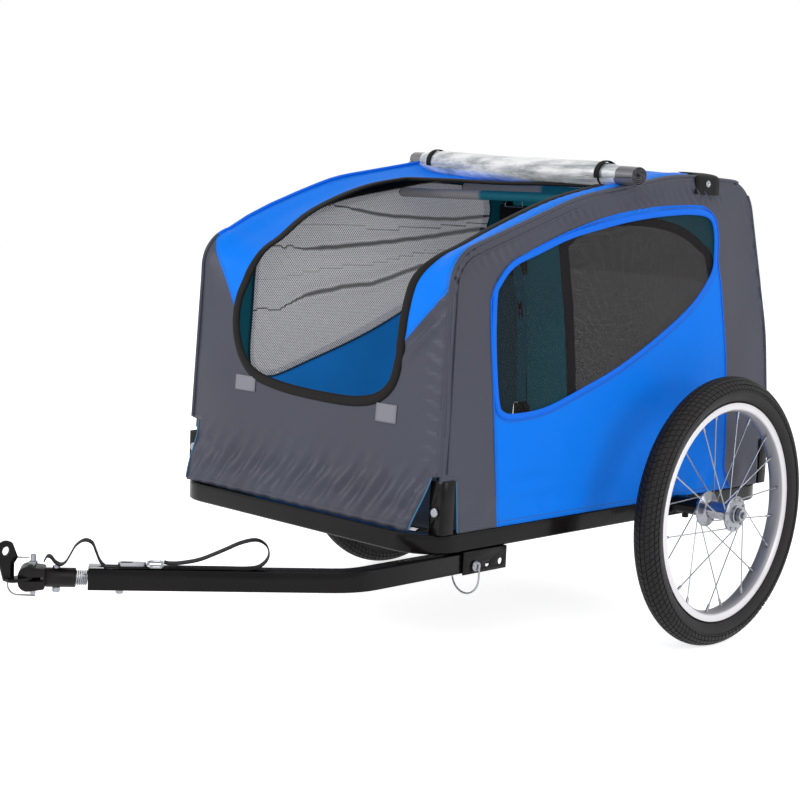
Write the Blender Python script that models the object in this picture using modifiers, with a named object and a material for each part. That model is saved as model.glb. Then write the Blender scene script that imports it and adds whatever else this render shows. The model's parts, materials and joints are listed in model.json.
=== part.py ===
"""Folding bicycle cargo trailer: two spoked wheels, a low tube frame, a fabric cabin and an offset tow bar.

Metres. X points forward along the tow bar, Y to the left side, Z up. The model is laid out from the
wheel axle, and the last step moves its origin to the ground under the middle of its box.
"""
import math

import bmesh
import bpy
from mathutils import Matrix, Vector

# Clearances
TOUCH = 0.0003          # between pieces that touch
RUNNING = 0.0004        # radial, between pieces that turn or slide

# Base frame: one bent ring of square tube with two cross tubes
RAIL = 0.025            # outer size of the square tube
RAIL_TOP = 0.2037       # height of the ring's top face
RING_HALF_WIDTH = 0.254
RING_FRONT = 0.534
RING_REAR = 0.254
RING_CORNER = 0.058     # outer corner radius
CROSS_TUBE = 0.020
FRONT_CROSS_X = 0.30
FLOOR_THICK = 0.003

# Wheels
WHEEL_RADIUS = 0.196
WHEEL_OFFSET = 0.079    # of a wheel's middle plane from the ring's side
TYRE_WIDTH = 0.040
TYRE_WALL = 0.0030
TREAD_DEPTH = 0.0016
TREAD_BLOCKS = 28
BEAD_RADIUS = 0.1535
RIM_RADIUS = 0.1585
RIM_HEIGHT = 0.0130
RIM_WIDTH = 0.0250
RIM_WALL = 0.0020
HUB_BARREL_RADIUS = 0.0125
FLANGE_RADIUS = 0.0260
FLANGE_SPACING = 0.047
FLANGE_THICK = 0.0045
HUB_OVERHANG = 0.0050
SPOKE_RADIUS = 0.0011
SPOKES_PER_FLANGE = 10
SPOKE_LEAN = 62.0       # degrees round the hub from a spoke's flange hole to its rim hole
SPOKE_HOLE_INSET = 0.0035
BEARING_RADIUS = 0.0100
BEARING_WIDTH = 0.0070
AXLE_RADIUS = 0.0060
CAP_RADIUS = 0.0095
CAP_LENGTH = 0.0070
BUTTON_RADIUS = 0.0045
BUTTON_PROUD = 0.0040
BUTTON_DEPTH = 0.0060
BUTTON_TRAVEL = 0.0030
RECEIVER_RADIUS = 0.0125
RECEIVER_PLATE = (0.062, 0.003)
RECEIVER_GAP = 0.0010   # between the receiver's end and the hub
KNOB_RADIUS = 0.0050
KNOB_DROP = 0.0185      # of the knob's lower end below the axle

# Side hoops and the corner brackets that they fold in
HOOP_RADIUS = 0.008
HOOP_LEAN = 1.8         # degrees that each hoop leans inwards when it stands
HOOP_END = 0.005        # how far the legs run on below their bolts
HOOP_CORNERS = (        # the hoops' centreline from the front bolt over to the rear one
    (0.4955, 0.2322, 0.0),
    (0.4875, 0.5445, 0.035),
    (0.2475, 0.6235, 0.49),
    (0.0200, 0.6635, 0.49),
    (-0.1430, 0.6575, 0.055),
    (-0.2115, 0.4400, 0.29),
    (-0.2345, 0.2322, 0.0),
)
BRACKET_SHEET = 0.0025
BRACKET_HEIGHT = 0.069
BRACKET_DEPTH = 0.0225  # across the trailer
BRACKET_LENGTH = 0.0251
PIVOT_HEIGHT = 0.0285   # of the left hoop's bolts above the rail
PIVOT_STEP = 0.018      # how much higher the right hoop's bolts are, so that it folds on top
PIVOT_BOLT_RADIUS = 0.0030
BOLT_HEAD_RADIUS = 0.0062
BOLT_HEAD_HEIGHT = 0.0026

# Cabin profile seen from the side: corner points of the fabric's outer face, with their radii
CABIN_CORNERS = (
    (0.5150, 0.2045, 0.0),
    (0.4980, 0.5530, 0.045),
    (0.2500, 0.6340, 0.50),
    (0.0200, 0.6740, 0.50),
    (-0.1500, 0.6680, 0.065),
    (-0.2220, 0.4400, 0.30),
    (-0.2515, 0.2045, 0.0),
)
FABRIC = 0.0015
MESH_FABRIC = 0.0008
ROOF_CROWN = 0.004
ROOF_END_X = -0.070     # where the roof sheet meets the rear panel
CORNER_CUT_INSET = 0.035    # how much narrower the front sheet is at its hem, cut away by the brackets
CORNER_CUT_SLOPE = 0.416
SEAM_ALLOWANCE = 0.010

# Openings in the fabric, as corner points with radii
WINDOW_CORNERS = (
    (0.4230, 0.5300, 0.045),
    (0.2500, 0.5980, 0.30),
    (-0.0780, 0.6420, 0.045),
    (-0.0730, 0.5300, 0.060),
    (0.1500, 0.4000, 0.35),
    (0.3300, 0.3450, 0.12),
    (0.4130, 0.3380, 0.030),
)
DOOR_CORNERS = (
    (0.182, 0.660, 0.020),
    (0.182, 0.352, 0.050),
    (0.000, 0.356, 0.300),
    (-0.166, 0.370, 0.050),
    (-0.182, 0.660, 0.020),
)
DOOR_REAR_X = 0.185     # how far back on the roof the front opening runs
REAR_DOOR_CORNERS = (
    (0.180, 0.604, 0.110),
    (0.180, 0.262, 0.030),
    (-0.180, 0.262, 0.030),
    (-0.180, 0.604, 0.110),
)

# Rain cover rolled up on the roof
ROLL_X = 0.095
ROLL_YAW = math.radians(11)  # it lies askew, its left end further forward
ROLL_RADIUS = 0.0165
ROLL_TURNS = 3
ROLL_INSET = 0.0015      # from the ring's side
ROLL_SHEET = 0.0010
ROLL_GAP = 0.0022        # between its turns
ROLL_STRAP_WIDTH = 0.020
ROLL_STRAP_INSET = 0.0525

# Roof bars under the hoops
ROOF_BAR_RADIUS = 0.006
FRONT_BAR_X = 0.108
REAR_BAR_X = -0.040
SNAP_RADIUS = 0.0050

# Tow bracket, tow bar and its pin
TOW_BAR = 0.025
TOW_BAR_WALL = 0.0016
TOW_BAR_INSET = 0.0137  # of the bar's middle from the ring's side
TOW_BAR_REAR_X = 0.4300
TOW_BEND_X = 0.6440
TOW_BEND_RADIUS = 0.075
TOW_TURN = 38.0         # degrees that the bar turns towards the middle
TOW_FRONT_LENGTH = 0.3145
CHANNEL_SHEET = 0.0025
CHANNEL_REAR_X = 0.3810
CHANNEL_LENGTH = 0.0840
CHANNEL_DROP = 0.0300
PIN_X = 0.4430
PIN_HOLE_PITCH = 0.0250
PIN_RADIUS = 0.0040
PIN_DROP = 0.0200       # of the pin's centre below the ring's underside
BAIL_RADIUS = 0.0013
BAIL_DROP = 0.0390

# Hitch, along the front part of the tow bar
PLUG_LENGTH = 0.052
SHANK_RADIUS = 0.0045
SHANK_LENGTH = 0.0050
SLEEVE_BORE = 0.012
SPRING_RADIUS = 0.0078
SPRING_WIRE = 0.0011
SPRING_TURNS = 4
SPRING_LENGTH = 0.0140
SLEEVE_RADIUS = 0.0115
SLEEVE_LENGTH = 0.0345
HOUSING_LENGTH = 0.0310
HOUSING_HEIGHT = 0.0330
HOUSING_WIDTH = 0.0280
TONGUE_THICK = 0.0040
HITCH_PIN_RADIUS = 0.0035
HITCH_PIN_BACK = 0.0165 # of the pin behind the housing's front
PLATE_HOLE_RADIUS = 0.0052
PLATE_SIDE = 0.010      # from the pin's axis out to the plate's upright ear
PLATE_FOOT = (0.0215, 0.0345)       # where the ear stands on the tongue
PLATE_HEAD = (0.0325, 0.0335, 0.0122)
PLATE_HEEL = (0.0165, 0.0245)
CLIP_WIRE = 0.0011
CLIP_REACH = 0.0290
BOLT_SHANK_RADIUS = 0.0028
SLEEVE_BOLT_PLACE = 0.0225

# Safety strap, hook and ring on top of the bar
STRAP_WIDTH = 0.020
STRAP_THICK = 0.0014
RING_WIRE = 0.0017
RING_REAR_X = -0.086    # the ring's rear bar, behind the bar's front end
RING_LENGTH = 0.017
RING_WIDE = 0.029
HOOK_LENGTH = 0.033
HOOK_THICK = 0.0040
STRAP_FRONT = (         # the strap's middle line from the housing back to the bar's end
    (0.0505, 0.0200), (0.0475, 0.0252), (0.0430, 0.0245), (0.0380, 0.0185), (0.0315, 0.0152),
    (0.0258, 0.0192), (0.0210, 0.0275), (0.0145, 0.0390), (0.0050, 0.0452), (-0.0040, 0.0422),
    (-0.0085, 0.0325), (-0.0130, 0.0215),
)
STRAP_FLAT = (-0.0215, -0.1000, -0.1900)        # where it lies on the bar
STRAP_LOOP = (          # its rear loop, back to the ring
    (-0.2040, 0.0190), (-0.2110, 0.0300), (-0.2080, 0.0420), (-0.1960, 0.0485), (-0.1780, 0.0450),
    (-0.1560, 0.0350), (-0.1300, 0.0240), (-0.1080, 0.0190), (-0.0950, 0.0188),
)

TRACK = 2 * (RING_HALF_WIDTH + WHEEL_OFFSET)
TOW_BAR_Y = RING_HALF_WIDTH - TOW_BAR_INSET
CABIN_Y = RING_HALF_WIDTH - 0.0002
CORNER_CUT_FOOT = RING_HALF_WIDTH - CORNER_CUT_INSET
ROLL_LENGTH = 2 * (RING_HALF_WIDTH - ROLL_INSET)
ROLL_STRAP_Y = ROLL_LENGTH / 2 - ROLL_STRAP_INSET
PIVOT_Z = RAIL_TOP + PIVOT_HEIGHT
HOOP_Y = RING_HALF_WIDTH - BRACKET_SHEET - TOUCH - HOOP_RADIUS - 0.0015
RAIL_BOTTOM = RAIL_TOP - RAIL
TOW_Z = RAIL_BOTTOM - TOUCH - CHANNEL_SHEET - TOUCH - TOW_BAR / 2
PIN_Z = RAIL_BOTTOM - PIN_DROP
LEAN = math.radians(HOOP_LEAN)


# Building blocks

def clear_scene():
    for obj in list(bpy.data.objects):
        bpy.data.objects.remove(obj, do_unlink=True)
    collection = bpy.data.collections.new("bicycle_cargo_trailer")
    bpy.context.scene.collection.children.link(collection)
    return collection


def make_material(name, color, roughness, metallic=0.0):
    material = bpy.data.materials.new(name)
    material.use_nodes = True
    shader = material.node_tree.nodes["Principled BSDF"]
    shader.inputs["Base Color"].default_value = (*color, 1.0)
    shader.inputs["Roughness"].default_value = roughness
    shader.inputs["Metallic"].default_value = metallic
    return material


def make_empty(name, location, turn_x=0.0, turn_z=0.0, parent=None):
    empty = bpy.data.objects.new(name, None)
    empty.location = location
    empty.rotation_euler = (turn_x, 0.0, turn_z)
    empty.empty_display_size = 0.02
    empty.parent = parent
    COLLECTION.objects.link(empty)
    return empty


def shape(mesh, turn=None, shift=None):
    """A loose mesh object, with its mesh turned and shifted in place."""
    obj = bpy.data.objects.new("shape", mesh)
    COLLECTION.objects.link(obj)
    if turn:
        mesh.transform(turn)
    if shift:
        mesh.transform(Matrix.Translation(shift))
    return obj


def evaluated_mesh(obj):
    """The object's mesh with its modifiers applied and its caps welded. The object goes."""
    graph = bpy.context.evaluated_depsgraph_get()
    mesh = bpy.data.meshes.new_from_object(obj.evaluated_get(graph), depsgraph=graph)
    bpy.data.objects.remove(obj, do_unlink=True)
    bm = bmesh.new()
    bm.from_mesh(mesh)
    bmesh.ops.remove_doubles(bm, verts=bm.verts, dist=1e-6)
    bmesh.ops.dissolve_degenerate(bm, edges=bm.edges, dist=1e-7)
    bmesh.ops.recalc_face_normals(bm, faces=bm.faces)
    bm.to_mesh(mesh)
    bm.free()
    return mesh


def name_piece(obj, name, material, parent, smooth=False):
    """Gives a finished piece its name, its own material and its parent."""
    obj.name = name
    obj.data.name = name
    obj.data.materials.clear()
    obj.data.materials.append(material.copy())
    if smooth:
        obj.data.shade_smooth()
        obj.data.set_sharp_from_angle(angle=math.radians(35))
    obj.parent = parent
    return obj


def box(size, centre=(0, 0, 0)):
    bm = bmesh.new()
    bmesh.ops.create_cube(bm, size=1.0)
    bmesh.ops.scale(bm, vec=size, verts=bm.verts)
    mesh = bpy.data.meshes.new("box")
    bm.to_mesh(mesh)
    bm.free()
    return shape(mesh, shift=centre)


ALONG = {
    "X": Matrix.Rotation(math.pi / 2, 4, "Y"),
    "Y": Matrix.Rotation(-math.pi / 2, 4, "X"),
    "Z": Matrix.Identity(4),
}


def rod(radius, start, length, axis="Z", centre=(0, 0, 0), sides=16):
    """A cylinder that runs from start to start + length along an axis."""
    bm = bmesh.new()
    bmesh.ops.create_cone(bm, cap_ends=True, segments=sides, radius1=radius, radius2=radius,
                          depth=length)
    bmesh.ops.translate(bm, verts=bm.verts, vec=(0, 0, start + length / 2))
    mesh = bpy.data.meshes.new("rod")
    bm.to_mesh(mesh)
    bm.free()
    return shape(mesh, turn=ALONG[axis], shift=centre)


def turned(profile, axis="Z", sides=32, closed=True, centre=(0, 0, 0)):
    """A profile of (radius, place along the axis) turned round the axis with a Screw modifier."""
    mesh = bpy.data.meshes.new("profile")
    points = [(r, 0, a) for r, a in profile]
    edges = [(i, i + 1) for i in range(len(points) - 1)]
    if closed:
        edges.append((len(points) - 1, 0))
    mesh.from_pydata(points, edges, [])
    obj = shape(mesh)
    screw = obj.modifiers.new("screw", "SCREW")
    screw.steps = screw.render_steps = sides
    screw.use_merge_vertices = True
    screw.merge_threshold = 0.00001
    return shape(evaluated_mesh(obj), turn=ALONG[axis], shift=centre)


def curve_data(splines, closed):
    curve = bpy.data.curves.new("curve", "CURVE")
    for points in splines:
        spline = curve.splines.new("POLY")
        spline.points.add(len(points) - 1)
        for point, place in zip(spline.points, points):
            point.co = (*place, 1.0) if len(place) == 3 else (*place, 0.0, 1.0)
        spline.use_cyclic_u = closed
    return curve


PLANES = {
    "XY": Matrix.Identity(4),
    "XZ": Matrix.Rotation(math.pi / 2, 4, "X"),
    "YZ": Matrix(((0, 0, 1, 0), (1, 0, 0, 0), (0, 1, 0, 0), (0, 0, 0, 1))),
}


def flat_solid(outlines, low, high, plane="XY"):
    """Flat outlines, the later ones holes in the first, filled from low to high across their plane."""
    curve = curve_data(outlines, closed=True)
    curve.dimensions = "2D"
    curve.fill_mode = "BOTH"
    curve.extrude = (high - low) / 2
    obj = bpy.data.objects.new("outline", curve)
    COLLECTION.objects.link(obj)
    mesh = evaluated_mesh(obj)
    mesh.transform(Matrix.Translation((0, 0, (low + high) / 2)))
    if plane == "XZ":
        mesh.transform(Matrix.Diagonal((1, 1, -1, 1)))
        mesh.flip_normals()
    return shape(mesh, turn=PLANES[plane])


def tube(points, radius, resolution=2, closed=False):
    """A round bar or wire along the points."""
    curve = curve_data([points], closed)
    curve.dimensions = "3D"
    curve.bevel_depth = radius
    curve.bevel_resolution = resolution
    curve.use_fill_caps = not closed
    obj = bpy.data.objects.new("tube", curve)
    COLLECTION.objects.link(obj)
    return shape(evaluated_mesh(obj))


def combine(target, others, operation):
    """Cuts the others out of the target, or joins them to it, and removes them."""
    for other in others:
        boolean = target.modifiers.new(operation.lower(), "BOOLEAN")
        boolean.operation = operation
        boolean.object = other
    mesh = evaluated_mesh(target)
    for other in others:
        bpy.data.objects.remove(other, do_unlink=True)
    return shape(mesh)


def cut(target, *others):
    return combine(target, others, "DIFFERENCE")


def join(target, *others):
    return combine(target, others, "UNION")


def bevelled(obj, width, segments=2, angle=40):
    bevel = obj.modifiers.new("bevel", "BEVEL")
    bevel.width = width
    bevel.segments = segments
    bevel.limit_method = "ANGLE"
    bevel.angle_limit = math.radians(angle)
    return shape(evaluated_mesh(obj))


def rounded(corners, closed=True, step=15.0, straight=1.0):
    """Corner points (u, v, radius) as a line whose corners are arcs, a point every step degrees."""
    points = []
    count = len(corners)
    for i, (u, v, radius) in enumerate(corners):
        corner = Vector((u, v))
        if radius == 0 or (not closed and i in (0, count - 1)):
            points.append(corner)
            continue
        before = (Vector(corners[i - 1][:2]) - corner)
        after = (Vector(corners[(i + 1) % count][:2]) - corner)
        turn = math.pi - before.angle(after)
        reach = min(radius * math.tan(turn / 2), before.length * 0.49, after.length * 0.49)
        radius = reach / math.tan(turn / 2)
        start = corner + before.normalized() * reach
        end = corner + after.normalized() * reach
        middle = corner + (before.normalized() + after.normalized()).normalized() * (
            radius / math.cos(turn / 2))
        steps = max(2, round(math.degrees(turn) / step), round(radius * turn / straight))
        for k in range(steps + 1):
            share = k / steps
            first = (start - middle).normalized()
            side = (end - middle).normalized()
            way = first.slerp(side, share)
            points.append(middle + way * radius)
    return [tuple(p) for p in points]


def offset_line(points, distance, closed=False):
    """The line moved sideways: to its left where the distance is positive."""
    moved = []
    count = len(points)
    for i, point in enumerate(points):
        here = Vector(point)
        last = Vector(points[i - 1]) if closed or i else here
        following = Vector(points[(i + 1) % count]) if closed or i < count - 1 else here
        sides = [v.normalized() for v in (here - last, following - here) if v.length > 1e-9]
        way = sum(sides, Vector((0, 0))).normalized()
        spread = max(0.5, way.dot(sides[0]))
        moved.append(tuple(here + Vector((-way.y, way.x)) * distance / spread))
    return moved


def ribbon(line, thick, low, high, plane="XY"):
    """A band of even thickness that follows a flat line."""
    left = offset_line(line, thick / 2)
    right = offset_line(line, -thick / 2)
    return flat_solid([left + right[::-1]], low, high, plane)


def circle(radius, u=0.0, v=0.0, sides=24):
    turns = [2 * math.pi * k / sides for k in range(sides)]
    return [(u + radius * math.cos(t), v + radius * math.sin(t)) for t in turns]


def side_angle(side):
    return 0.0 if side > 0 else math.pi


def side_name(side):
    return "left" if side > 0 else "right"


# Base frame

def build_base():
    def ring_outline(inset):
        front, rear = RING_FRONT - inset, -RING_REAR + inset
        half, radius = RING_HALF_WIDTH - inset, RING_CORNER - inset
        return rounded([(front, half, radius), (rear, half, radius), (rear, -half, radius),
                        (front, -half, radius)], straight=0.02)

    ring = flat_solid([ring_outline(0), ring_outline(RAIL)], RAIL_BOTTOM, RAIL_TOP)
    name_piece(bevelled(ring, 0.0025, segments=1, angle=60), "base_frame", BLACK_STEEL, ROOT)

    span = 2 * (RING_HALF_WIDTH - RAIL - TOUCH)
    for name, x in (("axle_cross_tube", 0.0), ("front_cross_tube", FRONT_CROSS_X)):
        bar = box((CROSS_TUBE, span, CROSS_TUBE), (x, 0, RAIL_TOP - CROSS_TUBE / 2))
        bore = box((CROSS_TUBE - 0.003, span * 1.1, CROSS_TUBE - 0.003),
                   (x, 0, RAIL_TOP - CROSS_TUBE / 2))
        name_piece(cut(bar, bore), name, BLACK_STEEL, ROOT)

    low = RAIL_TOP + TOUCH
    wide = RING_HALF_WIDTH - 0.004
    narrow = bracket_inner_y() - 0.001
    front, rear = bracket_x(1), bracket_x(-1)
    notch = bracket_reach() + 0.001
    half = [(front + 0.006, narrow), (front - notch, narrow), (front - notch, wide),
            (rear + notch, wide), (rear + notch, narrow), (rear - 0.004, narrow)]
    outline = half + [(x, -y) for x, y in reversed(half)]
    name_piece(flat_solid([outline], low, low + FLOOR_THICK), "floor_panel", BLACK_FABRIC, ROOT)


# Cabin profile

def profile_line(inset=0.0):
    """The cabin's side profile, from its front hem over the roof to its rear hem."""
    line = rounded(CABIN_CORNERS, closed=False, step=18.0, straight=0.06)
    return offset_line(line, inset) if inset else line


def cabin_half_width(z):
    return CABIN_Y - (z - RAIL_TOP) * math.tan(LEAN)


def hoop_line():
    """The hoops' centreline as (x, z): bent where each leg leaves its bracket."""
    line = rounded(HOOP_CORNERS, closed=False, step=18.0, straight=0.05)
    top = RAIL_TOP + BRACKET_HEIGHT + 0.002
    front, rear = HOOP_CORNERS[0][0], HOOP_CORNERS[-1][0]
    return [(front - 0.0010, top)] + line[1:-1] + [(rear + 0.0017, top)]


def bracket_x(end):
    """The middle of a corner bracket: end is 1 in front and -1 behind."""
    return (HOOP_CORNERS[0] if end > 0 else HOOP_CORNERS[-1])[0]


def bracket_inner_y():
    return RING_HALF_WIDTH - BRACKET_DEPTH


def wall_x(z, end):
    """Where the fabric's outer face is at a height, in front (1) or behind (-1)."""
    line = profile_line()[::end]
    for (x0, z0), (x1, z1) in zip(line, line[1:]):
        if z0 <= z <= z1:
            return x0 + (x1 - x0) * (z - z0) / (z1 - z0)
    return line[0][0]


def hoop_y(side):
    """The pivot's distance from the centre plane: the higher pivot is a little further in."""
    return HOOP_Y - (pivot_z(side) - PIVOT_Z) * math.tan(LEAN)


def bracket_reach():
    """Half the bracket's length along the side."""
    return BRACKET_LENGTH / 2


def pivot_z(side):
    return PIVOT_Z if side > 0 else PIVOT_Z + PIVOT_STEP


def build_hoop(side):
    """One side hoop and the four-walled corner it folds in, with its bolts."""
    name = side_name(side)
    frame = make_empty(f"{name}_hoop_axis", (0, side * hoop_y(side), pivot_z(side)),
                       turn_x=side * LEAN, parent=ROOT)
    line = [(x, 0.0, (z - pivot_z(side)) / math.cos(LEAN)) for x, z in hoop_line()]
    line = [(bracket_x(1), 0.0, -HOOP_END)] + line + [(bracket_x(-1), 0.0, -HOOP_END)]
    hoop = tube(line, HOOP_RADIUS, 2)
    holes = [rod(PIVOT_BOLT_RADIUS + RUNNING, -0.02, 0.04, "X", (bracket_x(e), 0, 0), 12)
             for e in (1, -1)]
    name_piece(cut(hoop, *holes), f"{name}_hoop", BLACK_STEEL, frame, True)

    for end, where in ((1, "front"), (-1, "rear")):
        x = bracket_x(end)
        outer, inner = RING_HALF_WIDTH, bracket_inner_y()
        reach = bracket_reach()
        wall = reach - BRACKET_SHEET
        plan = [(x + reach, side * inner), (x + reach, side * (outer - 0.003)),
                (x + reach - 0.003, side * outer), (x - reach + 0.003, side * outer),
                (x - reach, side * (outer - 0.003)), (x - reach, side * inner),
                (x - wall, side * inner), (x - wall, side * (outer - BRACKET_SHEET)),
                (x + wall, side * (outer - BRACKET_SHEET)), (x + wall, side * inner)]
        bracket = flat_solid([plan], RAIL_TOP + TOUCH, RAIL_TOP + BRACKET_HEIGHT)
        bore = rod(PIVOT_BOLT_RADIUS + TOUCH, -0.03, 0.06, "X",
                   (x, side * hoop_y(side), pivot_z(side)), 12)
        name_piece(cut(bracket, bore), f"{name}_{where}_bracket", BLACK_STEEL, ROOT)
        profile = [(0, -reach - 0.0045), (PIVOT_BOLT_RADIUS, -reach - 0.0045),
                   (PIVOT_BOLT_RADIUS, reach + TOUCH), (BOLT_HEAD_RADIUS, reach + TOUCH),
                   (BOLT_HEAD_RADIUS, reach + BOLT_HEAD_HEIGHT * 0.8),
                   (BOLT_HEAD_RADIUS * 0.85, reach + BOLT_HEAD_HEIGHT), (0, reach + BOLT_HEAD_HEIGHT)]
        flip = [(r, end * a) for r, a in profile]
        bolt = turned(flip, "X", 12, closed=False, centre=(x, side * hoop_y(side), pivot_z(side)))
        name_piece(bolt, f"{name}_{where}_pivot_bolt", BRIGHT_STEEL, ROOT)


def roof_z(x):
    """Height of the fabric's outer face on the roof above x."""
    line = profile_line()
    for (x0, z0), (x1, z1) in zip(line, line[1:]):
        if z0 > 0.5 and x1 <= x <= x0:
            return z0 + (z1 - z0) * (x0 - x) / (x0 - x1)
    return line[0][1]


def rail_place(side, x):
    """The side hoop's centreline (y, z) where it crosses x near the top."""
    line = hoop_line()
    for (x0, z0), (x1, z1) in zip(line, line[1:]):
        if z0 > 0.5 and x1 <= x <= x0:
            z = z0 + (z1 - z0) * (x0 - x) / (x0 - x1)
            height = z - pivot_z(side)
            return side * (hoop_y(side) - height * math.tan(LEAN)), z
    return 0.0, 0.0


def build_roof_bars():
    for name, x in (("front_roof_bar", FRONT_BAR_X), ("rear_roof_bar", REAR_BAR_X)):
        y, rail_z = rail_place(1, x)
        slope = rail_place(1, x + 0.01)[1] - rail_place(1, x - 0.01)[1]
        z = rail_z - (HOOP_RADIUS + ROOF_BAR_RADIUS + TOUCH) / math.cos(math.atan(slope / 0.02))
        frame = make_empty(f"{name}_seat", (x, 0, z), parent=ROOT)
        half = y + HOOP_RADIUS * 0.5
        bar = rod(ROOF_BAR_RADIUS, -half, 2 * half, "Y", sides=12)
        name_piece(bevelled(bar, 0.001, 1), name, BLACK_STEEL, frame, True)

    for side in (1, -1):
        y, z = rail_place(side, REAR_BAR_X)
        start = abs(y) + HOOP_RADIUS + TOUCH
        fabric_y = cabin_half_width(z)
        head = fabric_y + 2 * TOUCH
        profile = [(0, start), (SNAP_RADIUS * 0.4, start), (SNAP_RADIUS * 0.4, head), (SNAP_RADIUS, head),
                   (SNAP_RADIUS, head + 0.0015), (SNAP_RADIUS * 0.6, head + 0.0030), (0, head + 0.0032)]
        flip = [(r, side * a) for r, a in profile]
        snap = turned(flip, "Y", 14, closed=False, centre=(REAR_BAR_X, 0, z))
        name_piece(snap, f"{side_name(side)}_roof_snap", BRIGHT_STEEL, ROOT, True)


# Fabric cabin

def fabric_sheet(line, half_width, thick, divisions=6, crown=0.0):
    """A sheet that follows a side profile and spans the cabin, crowned along its middle."""
    bm = bmesh.new()
    rows = []
    for x, z in line:
        half = half_width(z)
        rise = crown * min(1.0, max(0.0, (z - 0.56) / 0.06))
        row = []
        for j in range(divisions + 1):
            share = 2 * j / divisions - 1
            row.append(bm.verts.new((x, half * share, z + rise * (1 - share ** 2))))
        rows.append(row)
    for lower, upper in zip(rows, rows[1:]):
        for j in range(divisions):
            bm.faces.new((lower[j], lower[j + 1], upper[j + 1], upper[j]))
    mesh = bpy.data.meshes.new("sheet")
    bm.to_mesh(mesh)
    bm.free()
    obj = shape(mesh)
    wall = obj.modifiers.new("wall", "SOLIDIFY")
    wall.thickness = thick
    wall.offset = -1
    return shape(evaluated_mesh(obj))


def trimmed(line, low_z=None, front_of=None, behind=None):
    """The stretch of a profile above a height, ahead of an x or behind one, with its end points."""
    kept = []
    for (x0, z0), (x1, z1) in zip(line, line[1:]):
        steps = 1 if math.dist((x0, z0), (x1, z1)) < 0.05 else 4
        for k in range(steps):
            share = k / steps
            kept.append((x0 + (x1 - x0) * share, z0 + (z1 - z0) * share))
    kept.append(line[-1])
    if front_of is not None:
        kept = [p for p in kept if p[0] > front_of or p[0] > 0.3] + [(front_of, roof_z(front_of))]
    if behind is not None:
        kept = [(behind, roof_z(behind))] + [p for p in kept if p[0] < behind]
    if low_z is not None:
        kept = [p for p in kept if p[1] > low_z]
    return kept


def front_half_width(z):
    """Half the front sheet's width: its lower corners are cut away aslant by the brackets."""
    full = cabin_half_width(z) - FABRIC - TOUCH
    aslant = CORNER_CUT_FOOT + (z - RAIL_TOP) * CORNER_CUT_SLOPE
    return min(full, aslant)


def rear_half_width(z):
    """Half the rear sheet's width: it stops short of the brackets, which stand further back."""
    full = cabin_half_width(z) - FABRIC - TOUCH
    return full if z >= bracket_clear_z() else bracket_inner_y() - 0.0015


def bracket_clear_z():
    return RAIL_TOP + BRACKET_HEIGHT + 0.003


def with_rows(line, heights):
    """Adds points to a profile where it crosses the heights, so that corners there stay sharp."""
    result = []
    for (x0, z0), (x1, z1) in zip(line, line[1:]):
        result.append((x0, z0))
        inside = [z for z in heights if min(z0, z1) < z < max(z0, z1)]
        for z in sorted(inside, reverse=z1 < z0):
            result.append((x0 + (x1 - x0) * (z - z0) / (z1 - z0), z))
    result.append(line[-1])
    return result


def build_canopy():
    cut_top = RAIL_TOP + (CABIN_Y - CORNER_CUT_FOOT) / (CORNER_CUT_SLOPE + math.tan(LEAN))
    line = with_rows(trimmed(profile_line(), front_of=ROOF_END_X), [cut_top])
    sheet = fabric_sheet(line, front_half_width, FABRIC, crown=ROOF_CROWN)
    door = flat_solid([rounded(DOOR_CORNERS, straight=0.06)], DOOR_REAR_X, RING_FRONT + 0.05, "YZ")
    name_piece(cut(sheet, door), "front_and_roof_canopy", GREY_FABRIC, ROOT)

    clear = bracket_clear_z()
    line = with_rows(trimmed(profile_line(), behind=ROOF_END_X - 2 * TOUCH), [clear, clear - 0.0006])
    sheet = fabric_sheet(line, rear_half_width, FABRIC, crown=ROOF_CROWN)
    door = flat_solid([rounded(REAR_DOOR_CORNERS, straight=0.06)], -RING_REAR - 0.05, -0.05, "YZ")
    name_piece(cut(sheet, door), "rear_panel", GREY_FABRIC, ROOT)

    low = min(v for _, v, _ in REAR_DOOR_CORNERS) - SEAM_ALLOWANCE
    high = max(v for _, v, _ in REAR_DOOR_CORNERS) + SEAM_ALLOWANCE
    inner = offset_line(trimmed(profile_line(), behind=ROOF_END_X), FABRIC + TOUCH)
    line = [p for p in with_rows(inner, [low, high]) if low - TOUCH < p[1] < high + TOUCH]
    half = REAR_DOOR_CORNERS[0][0] + SEAM_ALLOWANCE
    sheet = fabric_sheet(line, lambda z: half, MESH_FABRIC, divisions=2)
    name_piece(sheet, "rear_window", MESH, ROOT)


def side_outline():
    """The side panel's outline as (x, height above the ring), notched round the brackets."""
    top, low = bracket_clear_z(), RAIL_TOP + TOUCH
    rear_top = top + 0.003
    reach = bracket_reach() + 0.0015
    front, rear = bracket_x(1) - reach, bracket_x(-1) + reach
    over = [p for p in profile_line() if p[1] > top]
    line = [(front - 0.003, low), (front + 0.001, top), (wall_x(top, 1), top)] + over
    line += [(wall_x(rear_top, -1), rear_top), (rear, rear_top), (rear + 0.002, low)]
    return [(x, z - RAIL_TOP) for x, z in line]


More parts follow.
